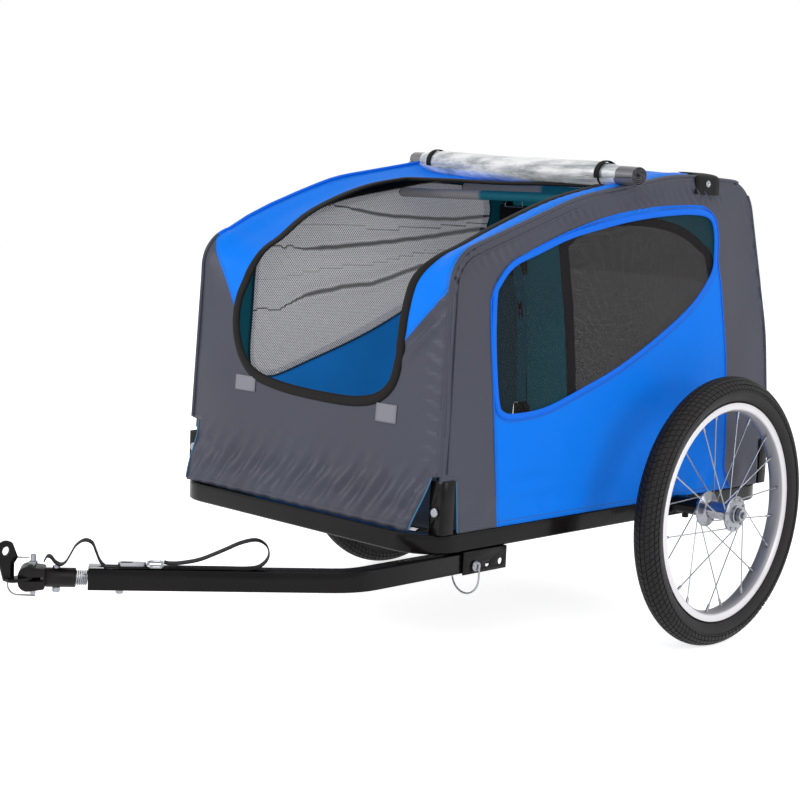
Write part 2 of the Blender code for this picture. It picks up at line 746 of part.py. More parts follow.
def build_side_panel(side):
    name = side_name(side)
    frame = make_empty(f"{name}_side_panel_foot", (0, side * CABIN_Y, RAIL_TOP),
                       turn_x=side * LEAN, parent=ROOT)
    window = [(x, z - RAIL_TOP) for x, z in rounded(WINDOW_CORNERS, straight=0.05)]
    layers = sorted((0.0, -side * FABRIC))
    panel = flat_solid([side_outline(), window], *layers, "XZ")
    hole = rod(SNAP_RADIUS * 0.4 + RUNNING, -0.01, 0.02, "Y",
               (REAR_BAR_X, 0, (rail_place(side, REAR_BAR_X)[1] - RAIL_TOP) / math.cos(LEAN)), 12)
    name_piece(cut(panel, hole), f"{name}_side_panel", GREY_FABRIC, frame)
    seam = offset_line(window, -SEAM_ALLOWANCE, closed=True)
    start = -side * (FABRIC + TOUCH)
    layers = sorted((start, start - side * MESH_FABRIC))
    name_piece(flat_solid([seam], *layers, "XZ"), f"{name}_window", MESH, frame)


def make_roll_rest():
    """The roll's frame: its middle above the roof, its length turned askew and down the roof's slope."""
    slope = (roof_z(ROLL_X + 0.01) - roof_z(ROLL_X - 0.01)) / 0.02
    height = roof_z(ROLL_X) + ROOF_CROWN + (TOUCH + ROLL_RADIUS) / math.cos(math.atan(slope))
    rest = make_empty("rain_cover_rest", (ROLL_X, 0, height), turn_z=-ROLL_YAW, parent=ROOT)
    tilt = math.atan(slope * math.sin(ROLL_YAW))
    return make_empty("rain_cover_tilt", (0, 0, 0), turn_x=tilt, parent=rest)


def build_roll():
    """The clear rain cover, rolled up: one sheet wound in a spiral, with two straps round it."""
    rest = make_roll_rest()
    steps = 20 * ROLL_TURNS
    inner = ROLL_RADIUS - ROLL_TURNS * (ROLL_SHEET + ROLL_GAP)
    line = []
    for k in range(steps + 1):
        radius = inner + (ROLL_RADIUS - ROLL_SHEET / 2 - inner) * k / steps
        angle = 2 * math.pi * ROLL_TURNS * k / steps - math.pi / 2  # its free edge lies underneath
        line.append((radius * math.cos(angle), radius * math.sin(angle)))
    half = ROLL_LENGTH / 2
    roll = ribbon(line, ROLL_SHEET, -half, half, "XZ")
    name_piece(roll, "rain_cover_roll", CLEAR_SHEET, rest, True)
    pitch = (ROLL_RADIUS - inner) / ROLL_TURNS
    print("rain cover: gap between its turns", round((pitch - ROLL_SHEET) * 1000, 2), "mm")
    for side in (1, -1):
        radius = ROLL_RADIUS + 2 * TOUCH
        loops = [circle(r, 0, 0, 20) for r in (radius + 0.0014, radius)]
        start = side * ROLL_STRAP_Y
        band = flat_solid(loops, start - ROLL_STRAP_WIDTH / 2, start + ROLL_STRAP_WIDTH / 2, "XZ")
        name_piece(band, f"{side_name(side)}_roll_strap", GREY_FABRIC, rest)


# Wheels

def wheel_frames(side):
    """The wheel's frame on its axle's frame. Both face outwards along +Y of their own."""
    name = side_name(side)
    axle = make_empty(f"{name}_axle_slide", (0, side * TRACK / 2, WHEEL_RADIUS),
                      turn_z=side_angle(side), parent=ROOT)
    return axle, make_empty(f"{name}_wheel_axis", (0, 0, 0), parent=axle)


def hub_half_length():
    return FLANGE_SPACING / 2 + FLANGE_THICK / 2 + HUB_OVERHANG


def tyre_profile():
    """The tyre's section as (radius, across, tread): a shell whose beads sit inside the rim's walls."""
    middle = WHEEL_RADIUS - TYRE_WIDTH / 2
    side = RIM_WIDTH / 2 - RIM_WALL - TOUCH
    outer = [(BEAD_RADIUS, -side, False), (RIM_RADIUS + 2 * TOUCH, -side, False)]
    for degrees in (-100, -62, -24, 24, 62, 100):
        turn = math.radians(degrees)
        height = min(1.0, math.cos(turn) / math.cos(math.radians(24)))
        outer.append((middle + TYRE_WIDTH / 2 * height, TYRE_WIDTH / 2 * math.sin(turn),
                      abs(degrees) < 70))
    outer += [(RIM_RADIUS + 2 * TOUCH, side, False), (BEAD_RADIUS, side, False)]
    thin = TYRE_WIDTH / 2 - TYRE_WALL - TREAD_DEPTH
    half = [(BEAD_RADIUS, side - 0.0022), (middle - 0.006, thin * 0.92), (middle + thin * 0.80, thin * 0.5)]
    inner = [(r, a, False) for r, a in half] + [(r, -a, False) for r, a in reversed(half)]
    return outer + inner


def build_tyre():
    """The section turned round the wheel, with every second step of the tread cut down to a gap."""
    steps = 2 * TREAD_BLOCKS
    bm = bmesh.new()
    rings = []
    for k in range(steps):
        turn = 2 * math.pi * k / steps
        ring = []
        for i, (radius, across, tread) in enumerate(tyre_profile()):
            low = tread and (k + i) % 2
            radius -= TREAD_DEPTH if low else 0.0
            ring.append(bm.verts.new((radius * math.cos(turn), across, radius * math.sin(turn))))
        rings.append(ring)
    count = len(rings[0])
    for k in range(steps):
        here, following = rings[k], rings[(k + 1) % steps]
        for i in range(count):
            j = (i + 1) % count
            bm.faces.new((here[i], here[j], following[j], following[i]))
    bmesh.ops.recalc_face_normals(bm, faces=bm.faces)
    mesh = bpy.data.meshes.new("tyre")
    bm.to_mesh(mesh)
    bm.free()
    return mesh


def build_rim():
    half, well = RIM_WIDTH / 2, RIM_RADIUS - RIM_HEIGHT
    bead = RIM_RADIUS - 0.0085
    profile = [(RIM_RADIUS, half), (RIM_RADIUS, half - RIM_WALL), (bead, half - RIM_WALL),
               (bead - 0.001, 0), (bead, -half + RIM_WALL), (RIM_RADIUS, -half + RIM_WALL),
               (RIM_RADIUS, -half), (well + 0.004, -half + 0.001), (well, -half * 0.5),
               (well, half * 0.5), (well + 0.004, half - 0.001)]
    return turned(profile, "Y", 40)


def build_hub():
    """The hub shell with its spokes: each flange's spokes lean both ways and cross."""
    end = hub_half_length()
    seat = end - BEARING_WIDTH
    bore = BEARING_RADIUS + TOUCH
    flange, thick = FLANGE_SPACING / 2, FLANGE_THICK / 2
    neck = HUB_BARREL_RADIUS + 0.001
    half = [(bore, end), (HUB_BARREL_RADIUS, end), (neck, flange + thick), (FLANGE_RADIUS, flange + thick),
            (FLANGE_RADIUS, flange - thick), (neck, flange - thick), (HUB_BARREL_RADIUS - 0.002, flange * 0.5)]
    inside = [(bore - 0.0028, -seat), (bore - 0.0028, seat), (bore, seat)]
    profile = half + [(r, -a) for r, a in reversed(half)] + [(bore, -seat)] + inside
    hub = turned(profile, "Y", 16)
    inner, outer = FLANGE_RADIUS - SPOKE_HOLE_INSET, RIM_RADIUS - RIM_HEIGHT - TOUCH
    spokes = bmesh.new()
    for flange_side in (1, -1):
        for k in range(SPOKES_PER_FLANGE):
            lean = math.radians(SPOKE_LEAN) * (1 if k % 2 else -1)
            angle = 2 * math.pi * (k + (0.25 if flange_side > 0 else 0.75)) / SPOKES_PER_FLANGE
            rim_angle = angle + lean
            across = flange_side * FLANGE_SPACING / 2 + (FLANGE_THICK / 4) * (1 if k % 2 else -1)
            start = Vector((inner * math.cos(angle), across, inner * math.sin(angle)))
            stop = Vector((outer * math.cos(rim_angle), flange_side * 0.003, outer * math.sin(rim_angle)))
            add_spoke(spokes, start, stop)
    mesh = bpy.data.meshes.new("spokes")
    spokes.to_mesh(mesh)
    spokes.free()
    return join(hub, shape(mesh))


def add_spoke(bm, start, stop):
    way = stop - start
    stop = start + way * (1 - 0.0004 / way.length)
    turn = way.to_track_quat("Z", "Y").to_matrix().to_4x4()
    place = Matrix.Translation((start + stop) / 2) @ turn
    bmesh.ops.create_cone(bm, cap_ends=True, segments=5, radius1=SPOKE_RADIUS, radius2=SPOKE_RADIUS,
                          depth=(stop - start).length, matrix=place)


def build_wheels():
    tyre, rim, hub = build_tyre(), build_rim(), build_hub()
    rim_mesh, hub_mesh = rim.data, hub.data
    bpy.data.objects.remove(rim)
    bpy.data.objects.remove(hub)
    end = hub_half_length()
    for side in (1, -1):
        name = side_name(side)
        axle, wheel = wheel_frames(side)
        name_piece(shape(tyre.copy()), f"{name}_tyre", TYRE_RUBBER, wheel, True)
        name_piece(shape(rim_mesh.copy()), f"{name}_rim", ALUMINIUM, wheel, True)
        name_piece(shape(hub_mesh.copy()), f"{name}_spoked_hub", BRIGHT_STEEL, wheel, True)
        for place, where in ((1, "outer"), (-1, "inner")):
            low, high = end - BEARING_WIDTH + TOUCH, end - TOUCH
            ring = [(AXLE_RADIUS + RUNNING, low), (BEARING_RADIUS, low), (BEARING_RADIUS, high),
                    (AXLE_RADIUS + RUNNING, high)]
            flip = [(r, place * a) for r, a in ring]
            name_piece(turned(flip, "Y", 16), f"{name}_{where}_bearing", BRIGHT_STEEL, wheel, True)
        build_axle(name, axle, end)
        build_receiver(name, side)


def build_axle(name, axle, end):
    """The quick-release axle with its cap, and the push button in the cap."""
    cap = end + 0.0004
    inner = -(TRACK / 2 - RING_HALF_WIDTH - 2 * TOUCH)
    bore = BUTTON_RADIUS + RUNNING
    floor = cap + CAP_LENGTH - BUTTON_DEPTH
    profile = [(0, inner), (AXLE_RADIUS - 0.001, inner), (AXLE_RADIUS, inner + 0.001), (AXLE_RADIUS, cap),
               (CAP_RADIUS, cap), (CAP_RADIUS, cap + CAP_LENGTH - 0.001),
               (CAP_RADIUS - 0.001, cap + CAP_LENGTH), (bore, cap + CAP_LENGTH), (bore, floor), (0, floor)]
    name_piece(turned(profile, "Y", 16, closed=False), f"{name}_axle", BRIGHT_STEEL, axle, True)
    back = floor + BUTTON_TRAVEL + 2 * TOUCH
    front = cap + CAP_LENGTH + BUTTON_PROUD
    seat = make_empty(f"{name}_button_slide", (0, back, 0), parent=axle)
    profile = [(0, 0), (BUTTON_RADIUS, 0), (BUTTON_RADIUS, front - back - 0.001),
               (BUTTON_RADIUS - 0.001, front - back), (0, front - back)]
    name_piece(turned(profile, "Y", 12, closed=False), f"{name}_release_button", BRIGHT_STEEL, seat, True)


def build_receiver(name, side):
    """The tube that takes the axle, on a plate against the ring's outer face."""
    length, thick = RECEIVER_PLATE
    start = RING_HALF_WIDTH + TOUCH
    low, high = min(RAIL_BOTTOM, WHEEL_RADIUS), max(RAIL_TOP, WHEEL_RADIUS)
    plate = box((length, thick, high - low), (0, side * (start + thick / 2), (low + high) / 2))
    inner = TRACK / 2 - hub_half_length() - RECEIVER_GAP
    barrel = rod(RECEIVER_RADIUS, side * (start + thick / 2), side * (inner - start - thick / 2), "Y",
                 (0, 0, WHEEL_RADIUS), 16)
    knob_y = start + thick + (inner - start - thick) * 0.36
    knob = rod(KNOB_RADIUS, WHEEL_RADIUS - KNOB_DROP, KNOB_DROP - RECEIVER_RADIUS * 0.6, "Z",
               (0, side * knob_y, 0), 12)
    bore = rod(AXLE_RADIUS + RUNNING, -0.2, 0.4, "Y", (0, side * RING_HALF_WIDTH, WHEEL_RADIUS), 16)
    solid = cut(join(plate, barrel, knob), bore)
    name_piece(solid, f"{name}_axle_receiver", BLACK_STEEL, ROOT)


# Tow bar and hitch

def tow_line():
    """The tow bar's centreline seen from above, and its front end."""
    turn = math.radians(TOW_TURN)
    end = (TOW_BEND_X + TOW_FRONT_LENGTH * math.cos(turn), TOW_BAR_Y - TOW_FRONT_LENGTH * math.sin(turn))
    corners = [(TOW_BAR_REAR_X, TOW_BAR_Y, 0), (TOW_BEND_X, TOW_BAR_Y, TOW_BEND_RADIUS), (*end, 0)]
    return rounded(corners, closed=False, step=8), end


def pin_places():
    return [PIN_X - k * PIN_HOLE_PITCH for k in range(3)]


def build_tow_bracket():
    top = RAIL_BOTTOM - TOUCH
    outer = TOW_BAR_Y + TOW_BAR / 2 + 2 * TOUCH + CHANNEL_SHEET
    inner = TOW_BAR_Y - (outer - TOW_BAR_Y)
    low = top - CHANNEL_DROP
    section = [(inner, low), (inner, top), (outer, top), (outer, low), (outer - CHANNEL_SHEET, low),
               (outer - CHANNEL_SHEET, top - CHANNEL_SHEET), (inner + CHANNEL_SHEET, top - CHANNEL_SHEET),
               (inner + CHANNEL_SHEET, low)]
    channel = flat_solid([section], CHANNEL_REAR_X, CHANNEL_REAR_X + CHANNEL_LENGTH, "YZ")
    bores = [rod(PIN_RADIUS + TOUCH, -0.04, 0.08, "Y", (x, TOW_BAR_Y, PIN_Z), 12) for x in pin_places()]
    name_piece(cut(channel, *bores), "tow_bracket", BLACK_STEEL, ROOT)
    return inner, outer


def build_tow_pin(inner, outer):
    """The pin through the bracket and the bar, and the wire bail that snaps round under the bar."""
    frame = make_empty("tow_pin_axis", (PIN_X, TOW_BAR_Y, PIN_Z), parent=ROOT)
    head = outer - TOW_BAR_Y + TOUCH
    tail = inner - TOW_BAR_Y - 0.006
    profile = [(0, tail), (PIN_RADIUS - 0.001, tail), (PIN_RADIUS, tail + 0.001), (PIN_RADIUS, head),
               (0.0065, head), (0.0070, head + 0.002), (0.0055, head + 0.0048), (0, head + 0.0055)]
    name_piece(turned(profile, "Y", 16, closed=False), "tow_pin", BRIGHT_STEEL, frame, True)
    left = head + 0.0055 + BAIL_RADIUS + TOUCH
    right = tail - BAIL_RADIUS - TOUCH
    width = (left - right) / 2
    middle = (left + right) / 2
    line = [(0, left, 0.003)]
    for k in range(13):
        turn = math.pi * k / 12
        line.append((0, middle + width * math.cos(turn), -(BAIL_DROP - width) - width * math.sin(turn)))
    line.append((0, right, 0.003))
    name_piece(tube(line, BAIL_RADIUS, 1), "tow_pin_bail", BRIGHT_STEEL, frame, True)


def build_tow_bar():
    line, end = tow_line()
    half = TOW_BAR / 2
    bar = ribbon(line, TOW_BAR, TOW_Z - half, TOW_Z + half)
    inside = TOW_BAR - 2 * TOW_BAR_WALL
    turn = math.radians(TOW_TURN)
    longer = [(line[0][0] - 0.01, line[0][1])] + line
    longer += [(end[0] + 0.01 * math.cos(turn), end[1] - 0.01 * math.sin(turn))]
    bore = ribbon(longer, inside, TOW_Z - inside / 2, TOW_Z + inside / 2)
    hole = rod(PIN_RADIUS + TOUCH, -0.04, 0.08, "Y", (PIN_X, TOW_BAR_Y, PIN_Z), 16)
    bolt = rod(BOLT_SHANK_RADIUS + TOUCH, -0.04, 0.08, "Z", hitch_point(-PLUG_LENGTH * 0.7, end), 12)
    name_piece(cut(bar, bore, hole, bolt), "tow_bar", BLACK_STEEL, ROOT)
    return end


def hitch_point(along, end):
    turn = math.radians(TOW_TURN)
    return (end[0] + along * math.cos(turn), end[1] - along * math.sin(turn), TOW_Z)


def build_hitch(end):
    """Everything on the bar's front end, in a frame that points along it."""
    turn = math.radians(-TOW_TURN)
    frame = make_empty("hitch_line", (*end, TOW_Z), turn_z=turn, parent=ROOT)
    size = TOW_BAR - 2 * TOW_BAR_WALL - 2 * TOUCH
    plug = box((PLUG_LENGTH, size, size), (-PLUG_LENGTH / 2, 0, 0))
    shank = rod(SHANK_RADIUS, -0.005, 0.005 + SHANK_LENGTH, "X", sides=16)
    hole = rod(BOLT_SHANK_RADIUS + TOUCH, -0.04, 0.08, "Z", (-PLUG_LENGTH * 0.7, 0, 0), 12)
    name_piece(cut(join(plug, shank), hole), "hitch_plug", BRIGHT_STEEL, frame)
    build_bar_end(frame)
    build_spring(frame)

    joint = make_empty("hitch_flex", (SPRING_LENGTH / 2, 0, 0), parent=frame)
    start = SPRING_LENGTH / 2 + TOUCH
    bore = SHANK_RADIUS
    profile = [(0, start + SLEEVE_BORE), (bore, start + SLEEVE_BORE), (bore, start),
               (SLEEVE_RADIUS - 0.001, start),
               (SLEEVE_RADIUS, start + 0.001), (SLEEVE_RADIUS, start + SLEEVE_LENGTH),
               (0, start + SLEEVE_LENGTH)]
    sleeve = turned(profile, "X", 24, closed=False)
    bolt_x = start + SLEEVE_BOLT_PLACE
    bolt_hole = rod(BOLT_SHANK_RADIUS + TOUCH, -0.04, 0.08, "Z", (bolt_x, 0, 0), 12)
    name_piece(cut(sleeve, bolt_hole), "hitch_sleeve", BLACK_PLASTIC, joint, True)
    name_piece(cross_bolt(SLEEVE_RADIUS, 0.0022, (bolt_x, 0, 0)), "sleeve_bolt", BRIGHT_STEEL, joint)
    build_housing(joint, start + SLEEVE_LENGTH + TOUCH)


def cross_bolt(half, top, centre):
    """An upright bolt through a piece: its head below and its nut, top high, above."""
    low, high = -half - TOUCH, half + TOUCH
    profile = [(0, low - 0.0055), (0.0040, low - 0.0055), (0.0046, low - 0.0045), (0.0046, low),
               (BOLT_SHANK_RADIUS, low)]
    if top:
        profile += [(BOLT_SHANK_RADIUS, high), (0.0046, high), (0.0046, high + top), (0, high + top)]
    else:
        profile += [(BOLT_SHANK_RADIUS, half - TOUCH), (0, half - TOUCH)]
    return turned(profile, "Z", 12, closed=False, centre=centre)


def build_bar_end(frame):
    """The bolt that holds the plug in the bar."""
    bolt = cross_bolt(TOW_BAR / 2, 0, (-PLUG_LENGTH * 0.7, 0, 0))
    name_piece(bolt, "hitch_bolt", BRIGHT_STEEL, frame)


def build_spring(frame):
    """The short coil between the bar's end and the sleeve, one unbroken wire."""
    per_turn = 10
    pitch = (SPRING_LENGTH - 2 * SPRING_WIRE - 2 * TOUCH) / SPRING_TURNS
    line = []
    for k in range(per_turn * SPRING_TURNS + 1):
        turn = 2 * math.pi * k / per_turn
        line.append((TOUCH + SPRING_WIRE + pitch * k / per_turn, SPRING_RADIUS * math.cos(turn),
                     SPRING_RADIUS * math.sin(turn)))
    print("hitch spring: gap between its turns", round((pitch - 2 * SPRING_WIRE) * 1000, 2), "mm")
    name_piece(tube(line, SPRING_WIRE, 1), "hitch_spring", BRIGHT_STEEL, frame, True)


def build_housing(joint, start):
    """The hitch's housing with its slot, the pin through it, the wire clip and the axle plate."""
    half = HOUSING_HEIGHT / 2
    outline = rounded([(start, -half * 0.72, 0.003), (start + HOUSING_LENGTH, -half, 0.011),
                       (start + HOUSING_LENGTH, half, 0.011), (start, half * 0.72, 0.003)], straight=0.02)
    wide = HOUSING_WIDTH / 2
    body = bevelled(flat_solid([outline], -wide, wide, "XZ"), 0.0025, 1, 60)
    pin_x = start + HOUSING_LENGTH - HITCH_PIN_BACK
    slot_half = TONGUE_THICK / 2 + 2 * TOUCH
    slot = box((HITCH_PIN_BACK + 0.014, HOUSING_WIDTH * 2, 2 * slot_half),
               (pin_x + (HITCH_PIN_BACK + 0.014) / 2 - 0.014 + 0.001, 0, 0))
    bore = rod(HITCH_PIN_RADIUS + RUNNING, -0.05, 0.1, "Z", (pin_x, 0, 0), 16)
    name_piece(cut(body, slot, bore), "hitch_housing", BLACK_PLASTIC, joint)

    plate_frame = make_empty("hitch_plate_axis", (pin_x, 0, 0), turn_z=math.radians(TOW_TURN), parent=joint)
    top = half + 0.011
    profile = [(0, -half - 0.004), (HITCH_PIN_RADIUS - 0.001, -half - 0.004), (HITCH_PIN_RADIUS, -half - 0.003),
               (HITCH_PIN_RADIUS, half + 0.0004), (0.0052, half + 0.0004), (0.0052, half + 0.0024),
               (0.0032, half + 0.003), (0.0032, top - 0.001), (0.0022, top), (0, top)]
    name_piece(turned(profile, "Z", 16, closed=False), "hitch_pin", BRIGHT_STEEL, plate_frame, True)
    build_clip(plate_frame, half)
    build_plate(plate_frame)


def build_clip(plate_frame, half):
    """The wire that loops from the pin's head round the housing's nose to its lower end."""
    head = half + 0.0065
    turn = math.radians(TOW_TURN)
    ahead = 0.0032 + CLIP_WIRE + TOUCH
    frame = make_empty("hitch_clip_axis", (ahead * math.cos(turn), -ahead * math.sin(turn), head),
                       turn_z=-turn, parent=plate_frame)
    foot = -half - 0.004 - CLIP_WIRE - 2 * TOUCH - head
    front = CLIP_REACH - ahead
    corners = [(0, 0, 0), (front, 0.001, 0.012), (front, foot + 0.001, 0.012), (-0.003 - ahead, foot, 0)]
    line = [(x, 0.0, z) for x, z in rounded(corners, closed=False, step=18)]
    name_piece(tube(line, CLIP_WIRE, 1), "hitch_pin_clip", BRIGHT_STEEL, frame, True)


def build_plate(frame):
    """The steel plate that bolts on the bicycle's axle: a flat tongue with an upright ear."""
    thick = TONGUE_THICK
    outer = -PLATE_SIDE
    tongue = flat_solid([rounded([(-0.009, outer, 0.008), (PLATE_FOOT[1], outer, 0.0),
                                  (PLATE_FOOT[1], -outer - 0.002, 0.010), (-0.009, -outer - 0.002, 0.008)],
                                 straight=0.02)], -thick / 2, thick / 2)
    x, z, radius = PLATE_HEAD
    outline = [(PLATE_FOOT[0], -thick / 2), (PLATE_FOOT[1], -thick / 2)]
    for degrees in range(-30, 136, 15):
        turn = math.radians(degrees)
        outline.append((x + radius * math.cos(turn), z + radius * math.sin(turn)))
    outline += [PLATE_HEEL, (PLATE_FOOT[0], HOUSING_HEIGHT / 2 + 0.0015)]
    ear = flat_solid([outline], outer, outer + thick, "XZ")
    bore = rod(PLATE_HOLE_RADIUS, -0.05, 0.1, "Y", (x, 0, z), 20)
    pin = rod(HITCH_PIN_RADIUS + TOUCH, -0.05, 0.1, "Z", sides=16)
    name_piece(cut(join(tongue, ear), bore, pin), "hitch_plate", BLACK_STEEL, frame)


# Safety strap on top of the bar, in the frame of the hitch

def build_strap(frame):
    top = TOW_BAR / 2 + TOUCH + STRAP_THICK / 2
    low = top + 0.0004
    route = list(STRAP_FRONT) + [(x, low) for x in STRAP_FLAT] + list(STRAP_LOOP)
    ring_z = top + STRAP_THICK / 2 + 2 * TOUCH + RING_WIRE + 0.0006
    curl = RING_WIRE + TOUCH + STRAP_THICK / 2
    for degrees in (90, 55, 20, -15):
        turn = math.radians(degrees)
        route.append((RING_REAR_X + curl * math.cos(turn), ring_z + curl * math.sin(turn)))
    line = smooth_line(route, 2)
    half = STRAP_WIDTH / 2
    name_piece(ribbon(line, STRAP_THICK, -half, half, "XZ"), "safety_strap", BLACK_WEBBING, frame, True)

    wide = RING_WIDE / 2
    ahead = RING_REAR_X + RING_LENGTH
    outline = rounded([(RING_REAR_X, -wide, 0.003), (ahead, -wide, 0.006), (ahead, wide, 0.006),
                       (RING_REAR_X, wide, 0.003)], step=30)
    points = [(x, y, ring_z) for x, y in outline]
    name_piece(tube(points, RING_WIRE, 1, closed=True), "strap_ring", BRIGHT_STEEL, frame, True)

    rear = ahead + RING_WIRE + TOUCH
    front = rear + HOOK_LENGTH
    side = HOOK_LENGTH * 0.182
    body = rounded([(rear, -side * 0.75, 0.004), (front, -side, 0.006), (front, side, 0.006),
                    (rear, side * 0.75, 0.004)], straight=0.02)
    middle, tip = rear + HOOK_LENGTH * 0.47, front - HOOK_LENGTH * 0.09
    eye = rounded([(middle, -side * 0.5, 0.003), (tip, -side * 0.58, 0.0034), (tip, side * 0.58, 0.0034),
                   (middle, side * 0.5, 0.003)], straight=0.02)
    hook = flat_solid([body, eye], ring_z - HOOK_THICK / 2, ring_z + HOOK_THICK / 2)
    name_piece(hook, "snap_hook", BRIGHT_STEEL, frame)


def smooth_line(points, parts):
    """A smooth line through the points, with several steps between each two."""
    line = []
    ends = [points[0]] + list(points) + [points[-1]]
    for a, b, c, d in zip(ends, ends[1:], ends[2:], ends[3:]):
        a, b, c, d = (Vector(p) for p in (a, b, c, d))
        for k in range(parts):
            t = k / parts
            point = (2 * b + (c - a) * t + (2 * a - 5 * b + 4 * c - d) * t ** 2
                     + (3 * b - a - 3 * c + d) * t ** 3) / 2
            line.append(tuple(point))
    line.append(tuple(points[-1]))
    return line


def centre_on_ground():
    """Moves the root so that the origin is on the ground under the middle of the whole box."""
    bpy.context.view_layer.update()
    corners = []
    for obj in COLLECTION.objects:
        if obj.type == "MESH":
            corners += [obj.matrix_world @ v.co for v in obj.data.vertices]
    low = Vector([min(c[i] for c in corners) for i in range(3)])
    high = Vector([max(c[i] for c in corners) for i in range(3)])
    ROOT.location = (-(low.x + high.x) / 2, -(low.y + high.y) / 2, -low.z)
    print("box", [round(v, 4) for v in high - low], "axle at x", round(ROOT.location.x, 4))


COLLECTION = clear_scene()
BLACK_STEEL = make_material("black_steel", (0.030, 0.028, 0.028), 0.30, 0.2)
BRIGHT_STEEL = make_material("bright_steel", (0.75, 0.76, 0.78), 0.25, 1.0)
ALUMINIUM = make_material("aluminium", (0.82, 0.83, 0.84), 0.30, 0.9)
TYRE_RUBBER = make_material("tyre_rubber", (0.035, 0.033, 0.033), 0.80)
GREY_FABRIC = make_material("grey_fabric", (0.095, 0.095, 0.115), 0.65)
BLACK_FABRIC = make_material("black_fabric", (0.030, 0.030, 0.033), 0.85)
BLACK_WEBBING = make_material("black_webbing", (0.020, 0.020, 0.022), 0.75)
BLACK_PLASTIC = make_material("black_plastic", (0.025, 0.023, 0.024), 0.40)
MESH = make_material("window_mesh", (0.060, 0.055, 0.050), 0.80)
CLEAR_SHEET = make_material("clear_sheet", (0.80, 0.82, 0.84), 0.15)
ROOT = make_empty("trailer_root", (0, 0, 0))

build_base()
for trailer_side in (1, -1):
    build_hoop(trailer_side)
    build_side_panel(trailer_side)
build_roof_bars()
build_canopy()
build_roll()
build_wheels()
bracket_inner, bracket_outer = build_tow_bracket()
bar_end = build_tow_bar()
build_tow_pin(bracket_inner, bracket_outer)
build_hitch(bar_end)
build_strap(bpy.data.objects["hitch_line"])
centre_on_ground()
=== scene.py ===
import json
import math

import bmesh
import bpy
import numpy as np
from mathutils import Matrix, Vector, noise


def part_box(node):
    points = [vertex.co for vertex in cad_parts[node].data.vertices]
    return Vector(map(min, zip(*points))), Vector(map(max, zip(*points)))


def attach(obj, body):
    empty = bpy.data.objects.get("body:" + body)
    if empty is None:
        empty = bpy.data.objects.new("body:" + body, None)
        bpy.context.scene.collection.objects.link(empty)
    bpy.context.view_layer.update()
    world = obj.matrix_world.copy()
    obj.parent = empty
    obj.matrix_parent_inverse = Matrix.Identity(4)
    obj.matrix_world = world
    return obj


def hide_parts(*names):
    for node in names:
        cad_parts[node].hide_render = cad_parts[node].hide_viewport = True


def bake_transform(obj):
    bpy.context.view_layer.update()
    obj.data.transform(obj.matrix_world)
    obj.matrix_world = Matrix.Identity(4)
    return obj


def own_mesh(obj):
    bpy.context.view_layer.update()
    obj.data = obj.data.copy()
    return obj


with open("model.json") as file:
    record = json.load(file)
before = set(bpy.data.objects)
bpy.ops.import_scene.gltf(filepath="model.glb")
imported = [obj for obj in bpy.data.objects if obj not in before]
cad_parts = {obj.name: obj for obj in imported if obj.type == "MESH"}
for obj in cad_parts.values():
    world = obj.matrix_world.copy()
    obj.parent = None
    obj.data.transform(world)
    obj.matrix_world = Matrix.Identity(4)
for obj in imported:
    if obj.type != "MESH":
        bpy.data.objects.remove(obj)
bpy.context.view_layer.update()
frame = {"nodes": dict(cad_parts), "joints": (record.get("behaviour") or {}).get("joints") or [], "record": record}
print("frame loaded:", len(frame["nodes"]), "nodes")

# lengths are in metres from the wheel axle, the middle plane and the floor; tables inside mm() are in millimetres
axleX, halfTrack, axleZ = next(j for j in frame["joints"] if j["name"] == "left_wheel_spin")["pos_m"]
toAxle = np.array((axleX, 0, 0))
sideNames = {1: "left", -1: "right"}
fullTurn = 2 * math.pi


def mm(*rows):
    return tuple(tuple(c / 1000 for c in row) for row in rows)


view = {"eye": (1.9961, 1.6088, 0.6173), "azimuth": 46.0, "elevation": 6.9, "roll": 2.6, "lens": 73.53}

cabin = {
    "corners": mm((515, 204.5, 0), (498, 553, 58), (250, 634, 500), (20, 674, 500), (-161, 669, 60), (-227, 440, 300),
                  (-251.5, 204.5, 0)),  # x, z and radius of the side profile
    "ringTop": 0.2037, "halfWidth": 0.2538, "lean": math.radians(1.8), "crown": 0.004, "rearCrown": 0.008,
    "cloth": 0.0014, "net": 0.0006, "roofEnd": -0.07, "mesh": 0.0058, "farLift": 0.0165, "rollSag": 0.0065,
    "farRise": mm((50, 16.5), (150, 16.5), (250, 17), (320, 15.5), (378, 12.8), (420, 8), (455, 0)),
    "farBack": mm((235, 0), (275, 6.5), (300, 6.5), (400, 4.2), (500, 1.8), (530, 0)),
}


# camera, as the photo was taken

def placeCamera(values):
    az, el, roll = (math.radians(values[k]) for k in ("azimuth", "elevation", "roll"))
    back = Vector((math.sin(az) * math.cos(el), math.cos(az) * math.cos(el), math.sin(el)))
    side = Vector((0, 0, 1)).cross(back).normalized()
    up = back.cross(side)
    right = side * math.cos(roll) + up * math.sin(roll)
    top = up * math.cos(roll) - side * math.sin(roll)
    camera = bpy.data.objects.new("camera", bpy.data.cameras.new("camera"))
    bpy.context.scene.collection.objects.link(camera)
    place = Matrix((right, top, back)).transposed().to_4x4()
    place.translation = Vector(values["eye"]) + Vector(toAxle)
    camera.matrix_world = place
    camera.data.lens, camera.data.sensor_width, camera.data.clip_start = values["lens"], 36, 0.05
    bpy.context.scene.camera = camera


placeCamera(view)
bpy.context.scene.view_settings.view_transform = "Standard"
print("camera placed")


# small helpers

def only(obj):
    if bpy.context.object and bpy.context.object.mode != "OBJECT":
        bpy.ops.object.mode_set(mode="OBJECT")
    bpy.ops.object.select_all(action="DESELECT")
    obj.select_set(True)
    bpy.context.view_layer.objects.active = obj
    return obj


